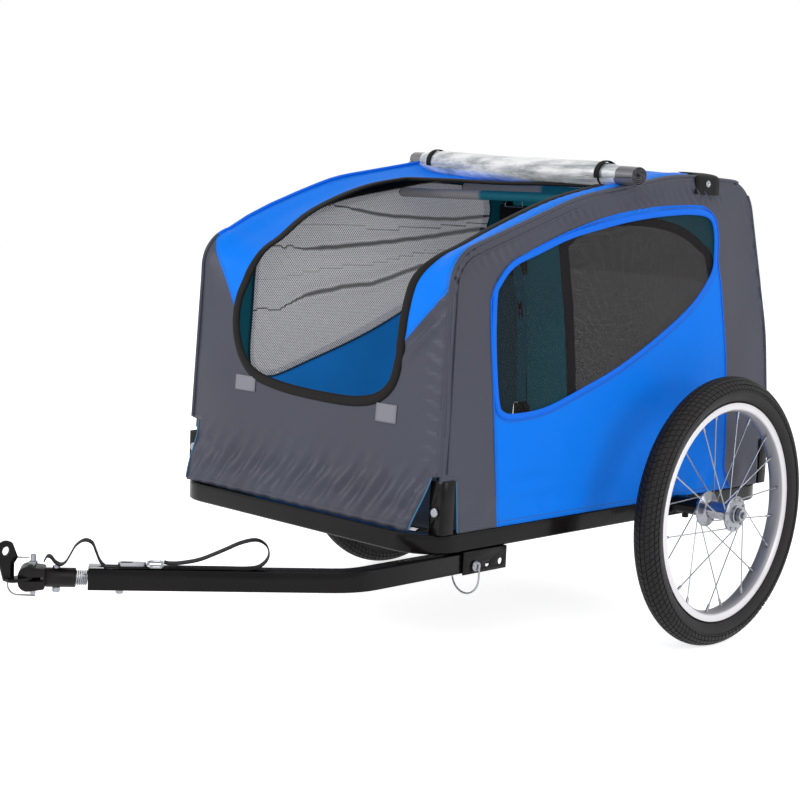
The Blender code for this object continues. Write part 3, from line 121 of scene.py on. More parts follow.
def applyModifiers(obj):
    only(obj)
    for modifier in list(obj.modifiers):
        bpy.ops.object.modifier_apply(modifier=modifier.name)


# normals outward, and doubles merged
def cleaned(obj, merge=True):
    only(obj)
    bpy.ops.object.mode_set(mode="EDIT")
    bpy.ops.mesh.select_all(action="SELECT")
    if merge:
        bpy.ops.mesh.remove_doubles(threshold=1e-6)
    bpy.ops.mesh.normals_make_consistent(inside=False)
    bpy.ops.object.mode_set(mode="OBJECT")
    return obj


def meshObject(name, points, faces):
    mesh = bpy.data.meshes.new(name)
    mesh.from_pydata([tuple(p) for p in points], [], [tuple(f) for f in faces])
    mesh.shade_smooth()
    obj = bpy.data.objects.new(name, mesh)
    bpy.context.scene.collection.objects.link(obj)
    return obj


def foldAway(obj):
    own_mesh(obj)


# puts a finished piece's place in its mesh, names it and hands it to its body
def settle(obj, name, material=None, body="trailer", angle=35, node=None, slot=None, fold=False):
    only(obj)
    bpy.ops.object.transform_apply(location=True, rotation=True, scale=True)
    obj.data.transform(Matrix.Translation(toAxle))
    if angle:
        bpy.ops.object.shade_smooth_by_angle(angle=math.radians(angle))
    obj.name = obj.data.name = name
    if material:
        obj.data.materials.clear()
        obj.data.materials.append(finish[material])
    if body:
        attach(obj, body)
    if node:
        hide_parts(node)
    if fold:
        foldAway(obj)
    return obj


def joined(pieces, name):
    bpy.ops.object.select_all(action="DESELECT")
    for piece in pieces:
        piece.select_set(True)
    bpy.context.view_layer.objects.active = pieces[0]
    bpy.ops.object.join()
    pieces[0].name = name
    return pieces[0]


# 1 at the centre, falling away over the width
def hump(v, centre, width):
    return np.exp(-((v - centre) / width) ** 2)


# 0 before the start, 1 once the reach is covered
def ramp(v, start, reach):
    return np.clip((v - start) / reach, 0, 1)


# soft waves of about this size, from -1 to 1
def ripple(u, v, size, seed):
    return np.array([noise.noise(Vector((a / size, b / size, seed))) for a, b in zip(u, v)])


# a smooth line through the points
def smoothLoop(points, parts, closed=True):
    pts = [Vector(p) for p in points]
    n = len(pts)
    out = []
    for i in range(n if closed else n - 1):
        if closed:
            a, b, c, d = (pts[(i + k - 1) % n] for k in range(4))
        else:
            a, b, c, d = pts[max(i - 1, 0)], pts[i], pts[i + 1], pts[min(i + 2, n - 1)]
        for t in (k / parts for k in range(parts)):
            out.append((2 * b + (c - a) * t + (2 * a - 5 * b + 4 * c - d) * t ** 2
                        + (3 * b - a - 3 * c + d) * t ** 3) / 2)
    if not closed:
        out.append(pts[-1])
    return np.array([tuple(p) for p in out])


# corner points (u, v, radius) as a line with arcs at its corners
def roundedLine(corners, step, closed=False):
    out = []
    n = len(corners)
    for i, (u, v, radius) in enumerate(corners):
        corner = Vector((u, v))
        if radius == 0 or (not closed and i in (0, n - 1)):
            out.append(corner)
            continue
        before, after = Vector(corners[i - 1][:2]) - corner, Vector(corners[(i + 1) % n][:2]) - corner
        turn = math.pi - before.angle(after)
        reach = min(radius * math.tan(turn / 2), before.length * 0.49, after.length * 0.49)
        radius = reach / math.tan(turn / 2)
        middle = corner + (before.normalized() + after.normalized()).normalized() * (radius / math.cos(turn / 2))
        first, last = ((corner + w.normalized() * reach - middle).normalized() for w in (before, after))
        steps = max(3, round(math.degrees(turn) / step))
        out += [middle + first.slerp(last, k / steps) * radius for k in range(steps + 1)]
    return np.array([tuple(p) for p in out])


# distance from each point to a closed line, how far along it, and the nearest point
def nearestOn(line, points):
    way = np.roll(line, -1, 0) - line
    length = np.linalg.norm(way, axis=1)
    start = np.concatenate([[0], np.cumsum(length)])
    best, along, near = np.full(len(points), 1e9), np.zeros(len(points)), np.zeros((len(points), 2))
    for i in np.flatnonzero(length >= 1e-9):
        t = np.clip((points - line[i]) @ way[i] / length[i] ** 2, 0, 1)
        spot = line[i] + t[:, None] * way[i]
        dist = np.linalg.norm(points - spot, axis=1)
        closer = dist < best - 1e-12
        best[closer], near[closer] = dist[closer], spot[closer]
        along[closer] = start[i] + t[closer] * length[i]
    return best, along, near


def insideLoop(loop, points):
    x, y = points[:, 0], points[:, 1]
    result = np.zeros(len(points), bool)
    for (x0, y0), (x1, y1) in zip(loop, np.roll(loop, -1, 0)):
        if y1 != y0:
            result ^= ((y0 > y) != (y1 > y)) & (x < (x1 - x0) * (y - y0) / (y1 - y0) + x0)
    return result


def insideCut(outer, holes, points):
    inside = insideLoop(outer, points)
    for hole in holes:
        inside &= ~insideLoop(hole, points)
    return inside


# a flat grid cut to its outline and holes: points near an edge are pulled on to it
def flatCloth(outer, holes, step):
    low, high = outer.min(0), outer.max(0)
    count = np.maximum(2, np.ceil((high - low) / step).astype(int))
    u, v = np.meshgrid(*(np.linspace(low[k], high[k], count[k] + 1) for k in (0, 1)), indexing="ij")
    points = np.stack([u.ravel(), v.ravel()], 1)
    good = insideCut(outer, holes, points)
    best, near = np.full(len(points), 1e9), points.copy()
    for loop in [outer, *holes]:
        dist, _, spot = nearestOn(loop, points)
        closer = dist < best
        best[closer], near[closer] = dist[closer], spot[closer]
    edge = best < step * 0.52
    points[edge] = near[edge]
    good |= edge
    index = np.arange(len(points)).reshape(count[0] + 1, count[1] + 1)
    faces = []
    for i in range(count[0]):
        for j in range(count[1]):
            kept = [k for k in (index[i, j], index[i + 1, j], index[i + 1, j + 1], index[i, j + 1]) if good[k]]
            if len(kept) >= 3:
                faces.append(kept)
    inside = insideCut(outer, holes, np.array([points[f].mean(0) for f in faces]))
    faces = [f for f, kept in zip(faces, inside) if kept]
    used = np.unique(np.concatenate([np.array(f) for f in faces]))
    renumber = -np.ones(len(points), int)
    renumber[used] = np.arange(len(used))
    return points[used], [[int(renumber[k]) for k in f] for f in faces]


def flatArea(points, faces):
    edges = ((points[f], np.roll(points[f], -1, 0)) for f in faces)
    return sum(abs(float((p[:, 0] * q[:, 1] - p[:, 1] * q[:, 0]).sum())) / 2 for p, q in edges)


def writeAttribute(obj, name, values):
    layer = obj.data.attributes.new(name, "FLOAT", "POINT")
    layer.data.foreach_set("value", np.asarray(values, np.float32))


# cuts a flat cloth, lays it with place(u, v, rise), and gives it its thickness, its UV map in metres and the
# distances that its seams and stitches are drawn by
def layCloth(name, outer, holes, place, puffs, looks, node, slot, border=None, flip=False, thick=None,
             step=None, extra=None, fold=True):
    flat, faces = flatCloth(outer, holes, step or cabin["mesh"])
    obj = meshObject(name, place(*flat.T, puffs(*flat.T)), faces)
    mesh = obj.data
    uv = mesh.uv_layers.new(name="cut")
    loopVerts = np.zeros(len(mesh.loops), int)
    mesh.loops.foreach_get("vertex_index", loopVerts)
    uv.data.foreach_set("uv", flat[loopVerts].astype(np.float32).ravel())
    hem, hemAlong = np.full(len(flat), 1e9), np.zeros(len(flat))
    for loop in [outer, *holes]:
        dist, along, _ = nearestOn(loop, flat)
        closer = dist < hem
        hem[closer], hemAlong[closer] = dist[closer], along[closer]
    seam, seamAlong = np.full(len(flat), -1.0), np.zeros(len(flat))
    if border is not None:
        dist, seamAlong, _ = nearestOn(border, flat)
        seam = dist * np.where(insideLoop(border, flat), 1.0, -1.0)
    distances = {"hem": hem, "hemAlong": hemAlong, "seam": seam, "seamAlong": seamAlong, **(extra or {})}
    for label, values in distances.items():
        writeAttribute(obj, label, values)
    for look in looks:
        mesh.materials.append(finish[look])
    if flip:
        mesh.flip_normals()
    solid = obj.modifiers.new("cloth", "SOLIDIFY")
    solid.thickness, solid.offset = thick or cabin["cloth"], -1
    solid.use_even_offset, solid.material_offset = False, 1
    applyModifiers(obj)
    settle(obj, name, angle=None, node=node, slot=slot)
    size = outer.max(0) - outer.min(0)
    flatArea(flat, faces)
    if fold:
        foldAway(obj)


def roundTube(name, points, radius, closed=False, sides=10):
    curve = bpy.data.curves.new(name, "CURVE")
    curve.dimensions = "3D"
    spline = curve.splines.new("POLY")
    spline.points.add(len(points) - 1)
    for spot, place in zip(spline.points, points):
        spot.co = (*[float(c) for c in place], 1.0)
    spline.use_cyclic_u = closed
    curve.bevel_depth, curve.bevel_resolution = radius, max(1, (sides - 4) // 2)
    curve.use_fill_caps = not closed
    obj = bpy.data.objects.new(name, curve)
    bpy.context.scene.collection.objects.link(obj)
    only(obj)
    bpy.ops.object.convert(target="MESH")
    return cleaned(bpy.context.object)


# a band of webbing or binding along the points, lying flat against the normals given
def tape(name, points, normals, width, thick, closed=True):
    pts, up = np.asarray(points, float), np.asarray(normals, float)
    count, rounding = len(pts), 0.35
    ahead = np.roll(pts, -1, 0) - np.roll(pts, 1, 0)
    if not closed:
        ahead[0], ahead[-1] = pts[1] - pts[0], pts[-1] - pts[-2]
    ahead /= np.linalg.norm(ahead, axis=1)[:, None]
    across = np.cross(ahead, up)
    across /= np.linalg.norm(across, axis=1)[:, None]
    up = np.cross(across, ahead)
    half, deep = width / 2, thick / 2
    flat = half * (1 - rounding)
    section = [(-half, -deep * 0.4), (-half, deep * 0.4), (-flat, deep), (0, deep * 1.1), (flat, deep),
               (half, deep * 0.4), (half, -deep * 0.4), (flat, -deep), (-flat, -deep)]
    verts = np.stack([pts + across * a + up * b for a, b in section], 1).reshape(-1, 3)
    n = len(section)
    faces = []
    for i in range(count if closed else count - 1):
        j = (i + 1) % count
        faces += [(i * n + k, i * n + (k + 1) % n, j * n + (k + 1) % n, j * n + k) for k in range(n)]
    if not closed:
        faces += [tuple(range(n)), tuple((count - 1) * n + k for k in reversed(range(n)))]
    obj = meshObject(name, verts, faces)
    length = np.concatenate([[0], np.cumsum(np.linalg.norm(np.diff(pts, axis=0), axis=1))])
    writeAttribute(obj, "along", np.repeat(length, n))
    writeAttribute(obj, "across", np.tile([a for a, _ in section], count))
    return cleaned(obj, merge=False)


def cordOn(name, points, radius, material, closed=False, sides=8, fold=True, **rest):
    settle(roundTube(name, points, radius, closed, sides), name, material, angle=60, fold=fold, **rest)


def bandOn(name, points, normals, width, thick, material, closed=True, slot="black_webbing", node=None):
    band = tape(name, points, normals, width, thick, closed)
    settle(band, name, material, angle=None, node=node, slot=slot, fold=True)


# a body turned round Z: one circle pulled along the profile of (radius, height)
def turned(profile, count, ring=False):
    radius, height = profile[0]
    bpy.ops.object.select_all(action="DESELECT")
    bpy.ops.mesh.primitive_circle_add(vertices=count, radius=radius, fill_type="NOTHING" if ring else "NGON",
                                      location=(0, 0, 0))
    obj = bpy.context.object
    bpy.ops.object.mode_set(mode="EDIT")
    bpy.ops.mesh.select_mode(type="VERT")
    bpy.ops.mesh.select_all(action="SELECT")
    bpy.ops.transform.translate(value=(0, 0, height))
    for wide, high in list(profile[1:]) + ([profile[0]] if ring else []):
        bpy.ops.mesh.extrude_region_move(TRANSFORM_OT_translate={"value": (0, 0, high - height)})
        bpy.ops.transform.resize(value=(wide / radius, wide / radius, 1), center_override=(0, 0, 0))
        radius, height = wide, high
    return cleaned(obj)


def turnMesh(obj, matrix):
    obj.data.transform(matrix)
    if matrix.determinant() < 0:
        obj.data.flip_normals()
    return obj


def nodeBox(node):
    return [np.array(p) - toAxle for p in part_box(node)]


# a node's output, which can be added, multiplied and so on
class Wire:
    def __init__(self, wires, socket):
        self.wires, self.socket = wires, socket

    def of(self, kind, *others, clamp=False):
        return self.wires.math(kind, self, *others, clamp=clamp)

    def __add__(self, other):
        return self.of("ADD", other)

    def __sub__(self, other):
        return self.of("SUBTRACT", other)

    def __mul__(self, other):
        return self.of("MULTIPLY", other)

    def __truediv__(self, other):
        return self.of("DIVIDE", other)

    def __rsub__(self, other):
        return self.wires.math("SUBTRACT", other, self)

    def __rtruediv__(self, other):
        return self.wires.math("DIVIDE", other, self)

    def __abs__(self):
        return self.of("ABSOLUTE")


# adds nodes to a tree and links them in short lines
class Wires:
    def __init__(self, tree, material=None):
        self.tree, self.material = tree, material

    def put(self, socket, value):
        if isinstance(value, Wire):
            self.tree.links.new(value.socket, socket)
        elif value is not None:
            socket.default_value = value

    def make(self, kind, inputs, **settings):
        node = self.tree.nodes.new("ShaderNode" + kind)
        for label, value in settings.items():
            setattr(node, label, value)
        for label, value in inputs.items():
            self.put(node.inputs[label], value)
        return node

    def one(self, output, kind, inputs, **settings):
        return Wire(self, self.make(kind, inputs, **settings).outputs[output])

    def all(self, kind, inputs, **settings):
        return [Wire(self, output) for output in self.make(kind, inputs, **settings).outputs]

    def math(self, kind, *values, clamp=False):
        return self.one(0, "Math", dict(enumerate(values)), operation=kind, use_clamp=clamp)

    def mix(self, share, a, b):
        return self.one(2, "Mix", {0: share, 6: a, 7: b}, data_type="RGBA")

    def blend(self, share, a, b):
        return self.one(0, "Mix", {0: share, 2: a, 3: b}, data_type="FLOAT")

    def range(self, value, fromLow, fromHigh, low=0.0, high=1.0):
        return self.one(0, "MapRange", dict(enumerate((value, fromLow, fromHigh, low, high))),
                        interpolation_type="SMOOTHSTEP")

    def noise(self, vector, scale, detail=2.0, rough=0.55):
        return self.one("Fac", "TexNoise", {"Vector": vector, "Scale": scale, "Detail": detail, "Roughness": rough})

    def attribute(self, name):
        return self.one("Fac", "Attribute", {}, attribute_name=name)

    def coordinates(self, kind="Object"):
        return self.one(kind, "TexCoord", {})

    def split(self, vector):
        return self.all("SeparateXYZ", {0: vector})

    def stretch(self, vector, scale):
        return self.one(0, "Mapping", {"Vector": vector, "Scale": scale})

    def bump(self, height, strength, distance, normal=None):
        return self.one(0, "Bump", {"Height": height, "Strength": strength, "Distance": distance, "Normal": normal})

    def use(self, group, **values):
        return self.all("Group", values, node_tree=group)

    def weave(self, thread):
        return self.use(weaveGroup, Vector=self.coordinates("UV"), Thread=thread)

    def marks(self, scale):
        return self.use(wearGroup, Vector=self.coordinates(), Scale=scale)

    # values of the material's own Principled sockets
    def set(self, **values):
        for label, value in values.items():
            self.put(self.tree.nodes["Principled BSDF"].inputs[label.replace("_", " ")], value)
        return self.material


# shader groups shared by several materials: inputs with their values (None for a vector), then the outputs

def newGroup(name, inputs, outputs, build):
    group = bpy.data.node_groups.new(name, "ShaderNodeTree")
    for label, value in inputs.items():
        kind = "NodeSocketVector" if value is None else "NodeSocketFloat"
        socket = group.interface.new_socket(label, in_out="INPUT", socket_type=kind)
        if value is not None:
            socket.default_value = value
    for label in outputs:
        group.interface.new_socket(label, in_out="OUTPUT", socket_type="NodeSocketFloat")
    start, end = group.nodes.new("NodeGroupInput"), group.nodes.new("NodeGroupOutput")
    w = Wires(group)
    for label, value in zip(outputs, build(w, *(Wire(w, start.outputs[label]) for label in inputs))):
        w.put(end.inputs[label], value)
    return group


# warp and weft threads that cross over and under
def weaveNodes(w, vector, thread):
    x, y, _ = w.split(vector)
    rate = math.pi / thread
    cross = (x * rate).of("SINE") * (y * rate).of("SINE")
    fleck = w.noise(w.stretch(vector, (900, 300, 600)), 1.0)
    return abs(cross), w.blend(0.5, fleck, w.range(cross, -1.0, 1.0))


# a row of stitches at a distance from a seam, with its slight furrow
def stitchNodes(w, distance, along, offset, length):
    away = abs(distance - offset)
    beat = (along / length).of("FRACT")
    dash = w.range(abs(beat - 0.5), 0.30, 0.40, 1.0, 0.0)
    return w.range(away, 0.0004, 0.0008, 1.0, 0.0) * dash, w.range(away, 0.0, 0.0022, 1.0, 0.0)


# 1 on a thread of the net, 0 in a hole
def netNodes(w, vector, cell, width):
    x, y, _ = w.split(vector)
    rate = math.pi / cell
    one, other = (abs((way * rate).of("SINE")) for way in (x + y, x - y))
    least = one.of("MINIMUM", other)
    return w.range(least, width * 0.75, width, 1.0, 0.0), w.range(least, 0.0, width, 1.0, 0.0)


# a slow blotch and fine specks
def wearNodes(w, vector, scale):
    return (w.range(w.noise(vector, scale, 4.0, 0.5), 0.35, 0.68), w.range(w.noise(vector, 420.0), 0.62, 0.74))


weaveGroup = newGroup("plainWeave", {"Vector": None, "Thread": 0.001}, ("Height", "Shade"), weaveNodes)
stitchGroup = newGroup("stitchRow", {"Distance": 0.0, "Along": 0.0, "Offset": 0.004, "Length": 0.0032},
                       ("Thread", "Furrow"), stitchNodes)
netGroup = newGroup("diamondNet", {"Vector": None, "Cell": 0.003, "Width": 0.3}, ("Thread", "Height"), netNodes)
wearGroup = newGroup("handlingMarks", {"Vector": None, "Scale": 8.0}, ("Blotch", "Speck"), wearNodes)


def newMaterial(name, **plain):
    material = bpy.data.materials.new(name)
    material.use_nodes = True
    w = Wires(material.node_tree, material)
    w.set(**plain)
    return w


# a colour as the eye reads it, 0 to 255, made linear
def rgb(*values):
    shares = (c / 255 for c in values)
    return (*(c / 12.92 if c <= 0.04045 else ((c + 0.055) / 1.055) ** 2.4 for c in shares), 1.0)


clothColours = {"grey": rgb(70, 71, 83), "blue": rgb(0, 127, 250), "thread": rgb(70, 72, 84)}


# the cabin's coated polyester: grey, with the blue cut in where a border says so
def coatedCloth(name, border):
    c = clothColours
    w = newMaterial(name, Coat_Weight=0.35, Coat_Roughness=0.30, Specular_IOR_Level=0.04)
    height, shade = w.weave(0.00085)
    blotch, _ = w.marks(5.0)
    threads, furrow = w.use(stitchGroup, Distance=w.attribute("hem"), Along=w.attribute("hemAlong"), Offset=0.0065)
    colour = c["grey"]
    if border:
        away = w.attribute("seam")
        thread, groove = w.use(stitchGroup, Distance=away, Along=w.attribute("seamAlong"), Offset=0.0035)
        threads, furrow = threads.of("MAXIMUM", thread), furrow.of("MAXIMUM", groove)
        blue = w.range(away, -0.0003, 0.0003)
        w.set(Coat_Weight=w.blend(blue, 0.35, 0.06))
        ditch = w.range(abs(away), 0.0, 0.0012, 1.0, 0.0)
        colour = w.mix(ditch * 0.45, w.mix(blue, c["grey"], c["blue"]), rgb(20, 40, 80))
    colour = w.mix(shade * 0.14, colour, rgb(20, 34, 60))
    colour = w.mix(blotch * 0.02, colour, rgb(120, 150, 190))
    creases = w.bump(w.noise(w.coordinates(), 16.0, 3.0, 0.6), 0.30, 0.006)
    return w.set(Base_Color=w.mix(threads * 0.7, colour, c["thread"]), Roughness=blotch * 0.08 + shade * 0.10 + 0.38,
                 Normal=w.bump(height, 0.16, 0.0003, w.bump(1.0 - furrow, 0.7, 0.0008, creases)))


def plainCloth(name, colour, dark):
    w = newMaterial(name, Sheen_Weight=0.15, Sheen_Roughness=0.5, Specular_IOR_Level=0.3)
    height, shade = w.weave(0.0009)
    blotch, _ = w.marks(7.0)
    soft = w.bump(w.noise(w.coordinates(), 14.0, 3.0), 0.4, 0.006)
    return w.set(Base_Color=w.mix(blotch * 0.35, w.mix(shade * 0.5, colour, dark), dark),
                 Roughness=w.blend(blotch, 0.62, 0.74), Normal=w.bump(height, 0.25, 0.0003, soft))


# the coated cloth's inner face, with painted light: a painted glow and a bluer colour stand for the daylight coming
# through it where the blue lies outside
def liningCloth(name, glow, dim):
    w = newMaterial(name, Roughness=0.6, Specular_IOR_Level=0.15)
    height, shade = w.weave(0.0009)
    blue = w.range(w.attribute("seam"), -0.002, 0.002)
    # uneven patches of the painted glow
    patches = w.range(w.noise(w.coordinates(), 5.0), 0.2, 0.8, 0.7, 1.2)
    teal = w.mix(blue, rgb(24, 92, 108), rgb(28, 118, 172))
    return w.set(Base_Color=w.mix(shade * 0.4, teal, rgb(12, 56, 76)),
                 Emission_Color=w.mix(blue, rgb(40, 150, 168), rgb(34, 140, 255)),
                 Emission_Strength=w.blend(blue, dim, glow) * patches, Normal=w.bump(height, 0.25, 0.0003))


# cloth channel: net-coloured towards the far side, lining elsewhere; it has a painted glow, lifting it out of the shade
# under the roof
def sleeveCloth(name):
    w = newMaterial(name, Roughness=0.6, Specular_IOR_Level=0.15, Emission_Strength=0.22)
    x, y, _ = w.split(w.coordinates())
    net = w.range(y, -0.066, -0.056, 1.0, 0.0) * w.range(x - axleX, -0.10, -0.09)
    threads = w.noise(w.coordinates(), 420.0)
    grey = w.mix(threads, rgb(112, 110, 112), rgb(140, 138, 140))
    shade = w.mix(net, w.mix(threads, rgb(18, 84, 98), rgb(28, 104, 124)), grey)
    # the emission is a painted glow
    return w.set(Base_Color=shade, Emission_Color=shade, Normal=w.bump(threads, 0.3, 0.0005))


def aroundAxle(w):
    x, _, z = w.split(w.coordinates())
    dx, dz = x - axleX, z - axleZ
    return dx, dz, (dx * dx + dz * dz).of("SQRT")


# anodised rim: a light satin face, and a barrel painted darker (painted shade in the rim's hollow) and a little
# rougher; turned in fine rings
def rimMetal(name):
    w = newMaterial(name, Metallic=0.5)
    _, _, away = aroundAxle(w)
    # the barrel's darker colour is painted shade, where the hollow of the rim lies in shade
    shadedBarrel = w.range(away, 0.1474, 0.1490, 1.0, 0.0)
    blotch, _ = w.marks(26.0)
    face = w.mix(blotch * 0.25, rgb(222, 220, 223), rgb(204, 203, 206))
    return w.set(Base_Color=w.mix(shadedBarrel, face, rgb(150, 149, 152)), Roughness=w.blend(shadedBarrel, 0.40, 0.50),
                 Normal=w.bump((away * 5200.0).of("SINE"), 0.10, 0.0001))


# black rubber: rings on the sidewall, fine slits across the tread, dust in the grooves
def tyreRubber(name):
    w = newMaterial(name, Specular_IOR_Level=0.22)
    dx, dz, away = aroundAxle(w)
    slits = (dz.of("ARCTAN2", dx) * 252.0 + away * 500.0).of("SINE")
    rings = w.range((away * 2300.0).of("SINE"), 0.3, 1.0) * w.range(away, 0.162, 0.172, 1.0, 0.0)
    height = w.blend(w.range(away, 0.176, 0.180), rings, w.range(slits, -0.9, -0.3))
    blotch, _ = w.marks(14.0)
    grain = w.bump(w.noise(w.coordinates(), 600.0), 0.15, 0.0003)
    return w.set(Base_Color=w.mix(blotch * 0.35, rgb(30, 28, 29), rgb(48, 45, 44)),
                 Roughness=w.blend(blotch, 0.50, 0.66), Normal=w.bump(height, 0.6, 0.0007, grain))


# see-through net, seen from its front side only; base is how much its holes still hide; glow is a painted glow for
# daylight behind the net, and its creases are painted darker as painted shade
def netCloth(name, colour, dark, cell, width, base, hole=None, glow=0.0):
    w = newMaterial(name, Roughness=0.7, Specular_IOR_Level=0.25, Emission_Strength=glow)
    thread, height = w.use(netGroup, Vector=w.coordinates("UV"), Cell=cell, Width=width)
    crease = w.range(abs(w.attribute("crease")), 0.0010, 0.0048, 0.98, 0.0)
    shade = w.mix(w.noise(w.coordinates(), 300.0), colour, dark)
    # painted shade in the creases
    shade = w.mix(crease, w.mix(thread, hole, shade) if hole else shade, rgb(30, 29, 32))
    facing = 1.0 - w.one("Backfacing", "NewGeometry", {})
    cover = (thread * (1.0 - base) + base).of("MAXIMUM", crease * 0.9)
    return w.set(Base_Color=shade, Emission_Color=shade, Alpha=cover.of("MULTIPLY", facing, clamp=True),
                 Normal=w.bump(height, 0.5, 0.0004))


# woven strap or binding tape with ribs across it, on its own along and across lengths
def webbing(name, colour, light):
    w = newMaterial(name, Specular_IOR_Level=0.14)
    rib = (w.attribute("along") * (fullTurn / 0.0011)).of("SINE")
    strand = (w.attribute("across") * (fullTurn / 0.0016)).of("SINE")
    height = rib * 0.5 + strand * 0.35
    return w.set(Base_Color=w.mix(w.range(height, -0.6, 0.9, 0.0, 0.5), colour, light),
                 Roughness=w.range(height, -0.8, 0.8, 0.52, 0.70), Normal=w.bump(height, 0.35, 0.0003))


# powder coat: faint orange peel, rubbed spots and dust
def paintedSteel(name, colour):
    w = newMaterial(name, Coat_Weight=0.12, Coat_Roughness=0.10, Specular_IOR_Level=0.08)
    blotch, speck = w.marks(11.0)
    tone = w.mix(blotch * 0.4, colour, rgb(24, 21, 20))
    return w.set(Base_Color=w.mix(speck * 0.05, tone, rgb(92, 88, 86)), Roughness=w.blend(blotch, 0.20, 0.32),
                 Normal=w.bump(w.noise(w.coordinates(), 260.0), 0.10, 0.0006))


# zinc-plated or machined metal with fine streaks and dull patches
def bareMetal(name, colour):
    w = newMaterial(name, Metallic=1.0)
    blotch, _ = w.marks(30.0)
    lines = w.noise(w.stretch(w.coordinates(), (40, 40, 900)), 1.0)
    return w.set(Base_Color=w.mix(blotch * 0.45, colour, rgb(128, 130, 136)),
                 Roughness=lines * 0.14 + w.blend(blotch, 0.15, 0.25), Normal=w.bump(lines, 0.12, 0.0002))


def mouldedPlastic(name, colour):
    w = newMaterial(name, Specular_IOR_Level=0.17)
    blotch, _ = w.marks(24.0)
    return w.set(Base_Color=w.mix(blotch * 0.3, colour, rgb(40, 35, 34)), Roughness=w.blend(blotch, 0.34, 0.49),
                 Normal=w.bump(w.noise(w.coordinates(), 900.0), 0.12, 0.0002))


# clear vinyl, milky where it is wound in layers, with grey cloth ends
def coverSheet(name):
    w = newMaterial(name, Coat_Weight=0.6, Coat_Roughness=0.06, Specular_IOR_Level=0.6)
    ends = w.range(w.attribute("along"), 0.031, 0.0325, 1.0, 0.0)
    streak = w.noise(w.stretch(w.coordinates(), (60, 7, 60)), 1.0, 4.0, 0.65)
    clear = w.mix(w.range(streak, 0.35, 0.66), rgb(150, 156, 160), rgb(240, 241, 242))
    layers = (w.attribute("across") * 24.0).of("FRACT")
    cloth = w.mix(w.range(layers, 0.2, 0.8, 0.0, 0.4), rgb(74, 74, 80), rgb(122, 122, 130))
    return w.set(Base_Color=w.mix(ends, clear, cloth), Roughness=w.blend(ends, 0.12, 0.55),
                 Normal=w.bump(streak, 0.6, 0.004))


finish = {
    "cloth": coatedCloth("coatedCloth", True),
    "greyCloth": coatedCloth("greyCloth", False),
    # linings with a painted glow: glow where the blue lies outside, dim elsewhere; the rear lining glows more
    "lining": liningCloth("tealLining", 0.20, 0.05),
    "rearLining": liningCloth("rearLining", 0.20, 0.16),
    "sleeve": sleeveCloth("channelCloth"),
    "tab": webbing("tabWebbing", rgb(40, 32, 30), rgb(62, 52, 48)),
    "netOuter": netCloth("netOuter", rgb(20, 17, 17), rgb(34, 28, 27), 0.0030, 0.32, 0.20),
    # the far net's inner face: painted light grey with a painted glow, for the daylight behind it; the outer face keeps
    # the net's own black
    "netInner": netCloth("netInner", rgb(222, 220, 222), rgb(196, 194, 196), 0.0044, 0.56, 0.88, rgb(78, 76, 80), 0.30),
    "netDark": netCloth("netDark", rgb(54, 46, 45), rgb(74, 65, 63), 0.0030, 0.45, 0.90),
    "binding": webbing("bindingTape", rgb(14, 12, 12), rgb(34, 30, 28)),
    "strap": webbing("strapWebbing", rgb(12, 12, 13), rgb(32, 32, 34)),
    "blueEdge": webbing("blueEdge", rgb(10, 108, 236), rgb(30, 130, 246)),
    "edging": webbing("paleEdging", rgb(62, 112, 150), rgb(96, 146, 180)),
    "patch": webbing("hookPatch", rgb(132, 132, 142), rgb(150, 150, 158)),
    "netHem": plainCloth("netHem", rgb(14, 60, 78), rgb(8, 40, 56)),
    "floorCloth": plainCloth("floorCloth", rgb(26, 26, 30), rgb(14, 14, 16)),
    "cover": coverSheet("coverSheet"),
    "frameBlack": paintedSteel("frameBlack", rgb(9, 7, 7)),
    "bright": bareMetal("zincSteel", rgb(150, 152, 158)),
    "rim": rimMetal("rimAluminium"),
    "plastic": mouldedPlastic("mouldedBlack", rgb(15, 13, 13)),
    "rubber": tyreRubber("tyreRubber"),
}
print("materials made")


# floor and light

studio = {
    "world": 0.58, "floor": (0.90, 0.90, 0.90), "whiter": 0.75,
    "lamps": (("keyLamp", (2.2, 2.6, 2.6), (0.0, 0.0, 0.35), (2.4, 2.0), 44.0),
              ("fillLamp", (3.0, -1.6, 1.6), (0.0, 0.0, 0.35), (2.4, 2.0), 44.0),
              ("backLamp", (-2.4, 1.6, 2.8), (0.0, 0.0, 0.35), (2.4, 1.6), 11.0),
              ("sideLamp", (-1.0, 2.5, 0.75), (0.1, 0.25, 0.30), (0.9, 0.7), 9.0)),  # place, aim, size, power
}


def seenPlain(w):
    rays = w.make("LightPath", {}).outputs
    camera, glossy, through = (Wire(w, rays["Is " + ray + " Ray"]) for ray in ("Camera", "Glossy", "Transmission"))
    return camera.of("MAXIMUM", glossy.of("MAXIMUM", through))


def makeStudio(values):
    world = bpy.data.worlds.new("studio")
    bpy.context.scene.world = world
    world.use_nodes = True
    w = Wires(world.node_tree)
    base = world.node_tree.nodes["Background"]
    base.inputs["Color"].default_value = (1.0, 1.0, 1.0, 1)
    w.put(base.inputs["Strength"], w.blend(seenPlain(w), values["world"], 1.0))
    for name, place, aim, size, power in values["lamps"]:
        light = bpy.data.lights.new(name, "AREA")
        light.shape, light.size, light.size_y, light.energy = "RECTANGLE", size[0], size[1], power
        obj = bpy.data.objects.new(name, light)
        bpy.context.scene.collection.objects.link(obj)
        obj.location = place
        obj.rotation_euler = (Vector(aim) - Vector(place)).to_track_quat("-Z", "Y").to_euler()
    bpy.ops.mesh.primitive_plane_add(size=24)
    floor = bpy.context.object
    floor.name = "studioFloor"
    w = newMaterial("studioFloor", Roughness=0.9, Specular_IOR_Level=0.1, Base_Color=(*values["floor"], 1),
                    Emission_Color=(1, 1, 1, 1))
    floor.data.materials.append(w.set(Emission_Strength=seenPlain(w) * values["whiter"]))


makeStudio(studio)
print("studio ready")


# cabin cloth; the side profile gives length along it, x, z and its outward direction

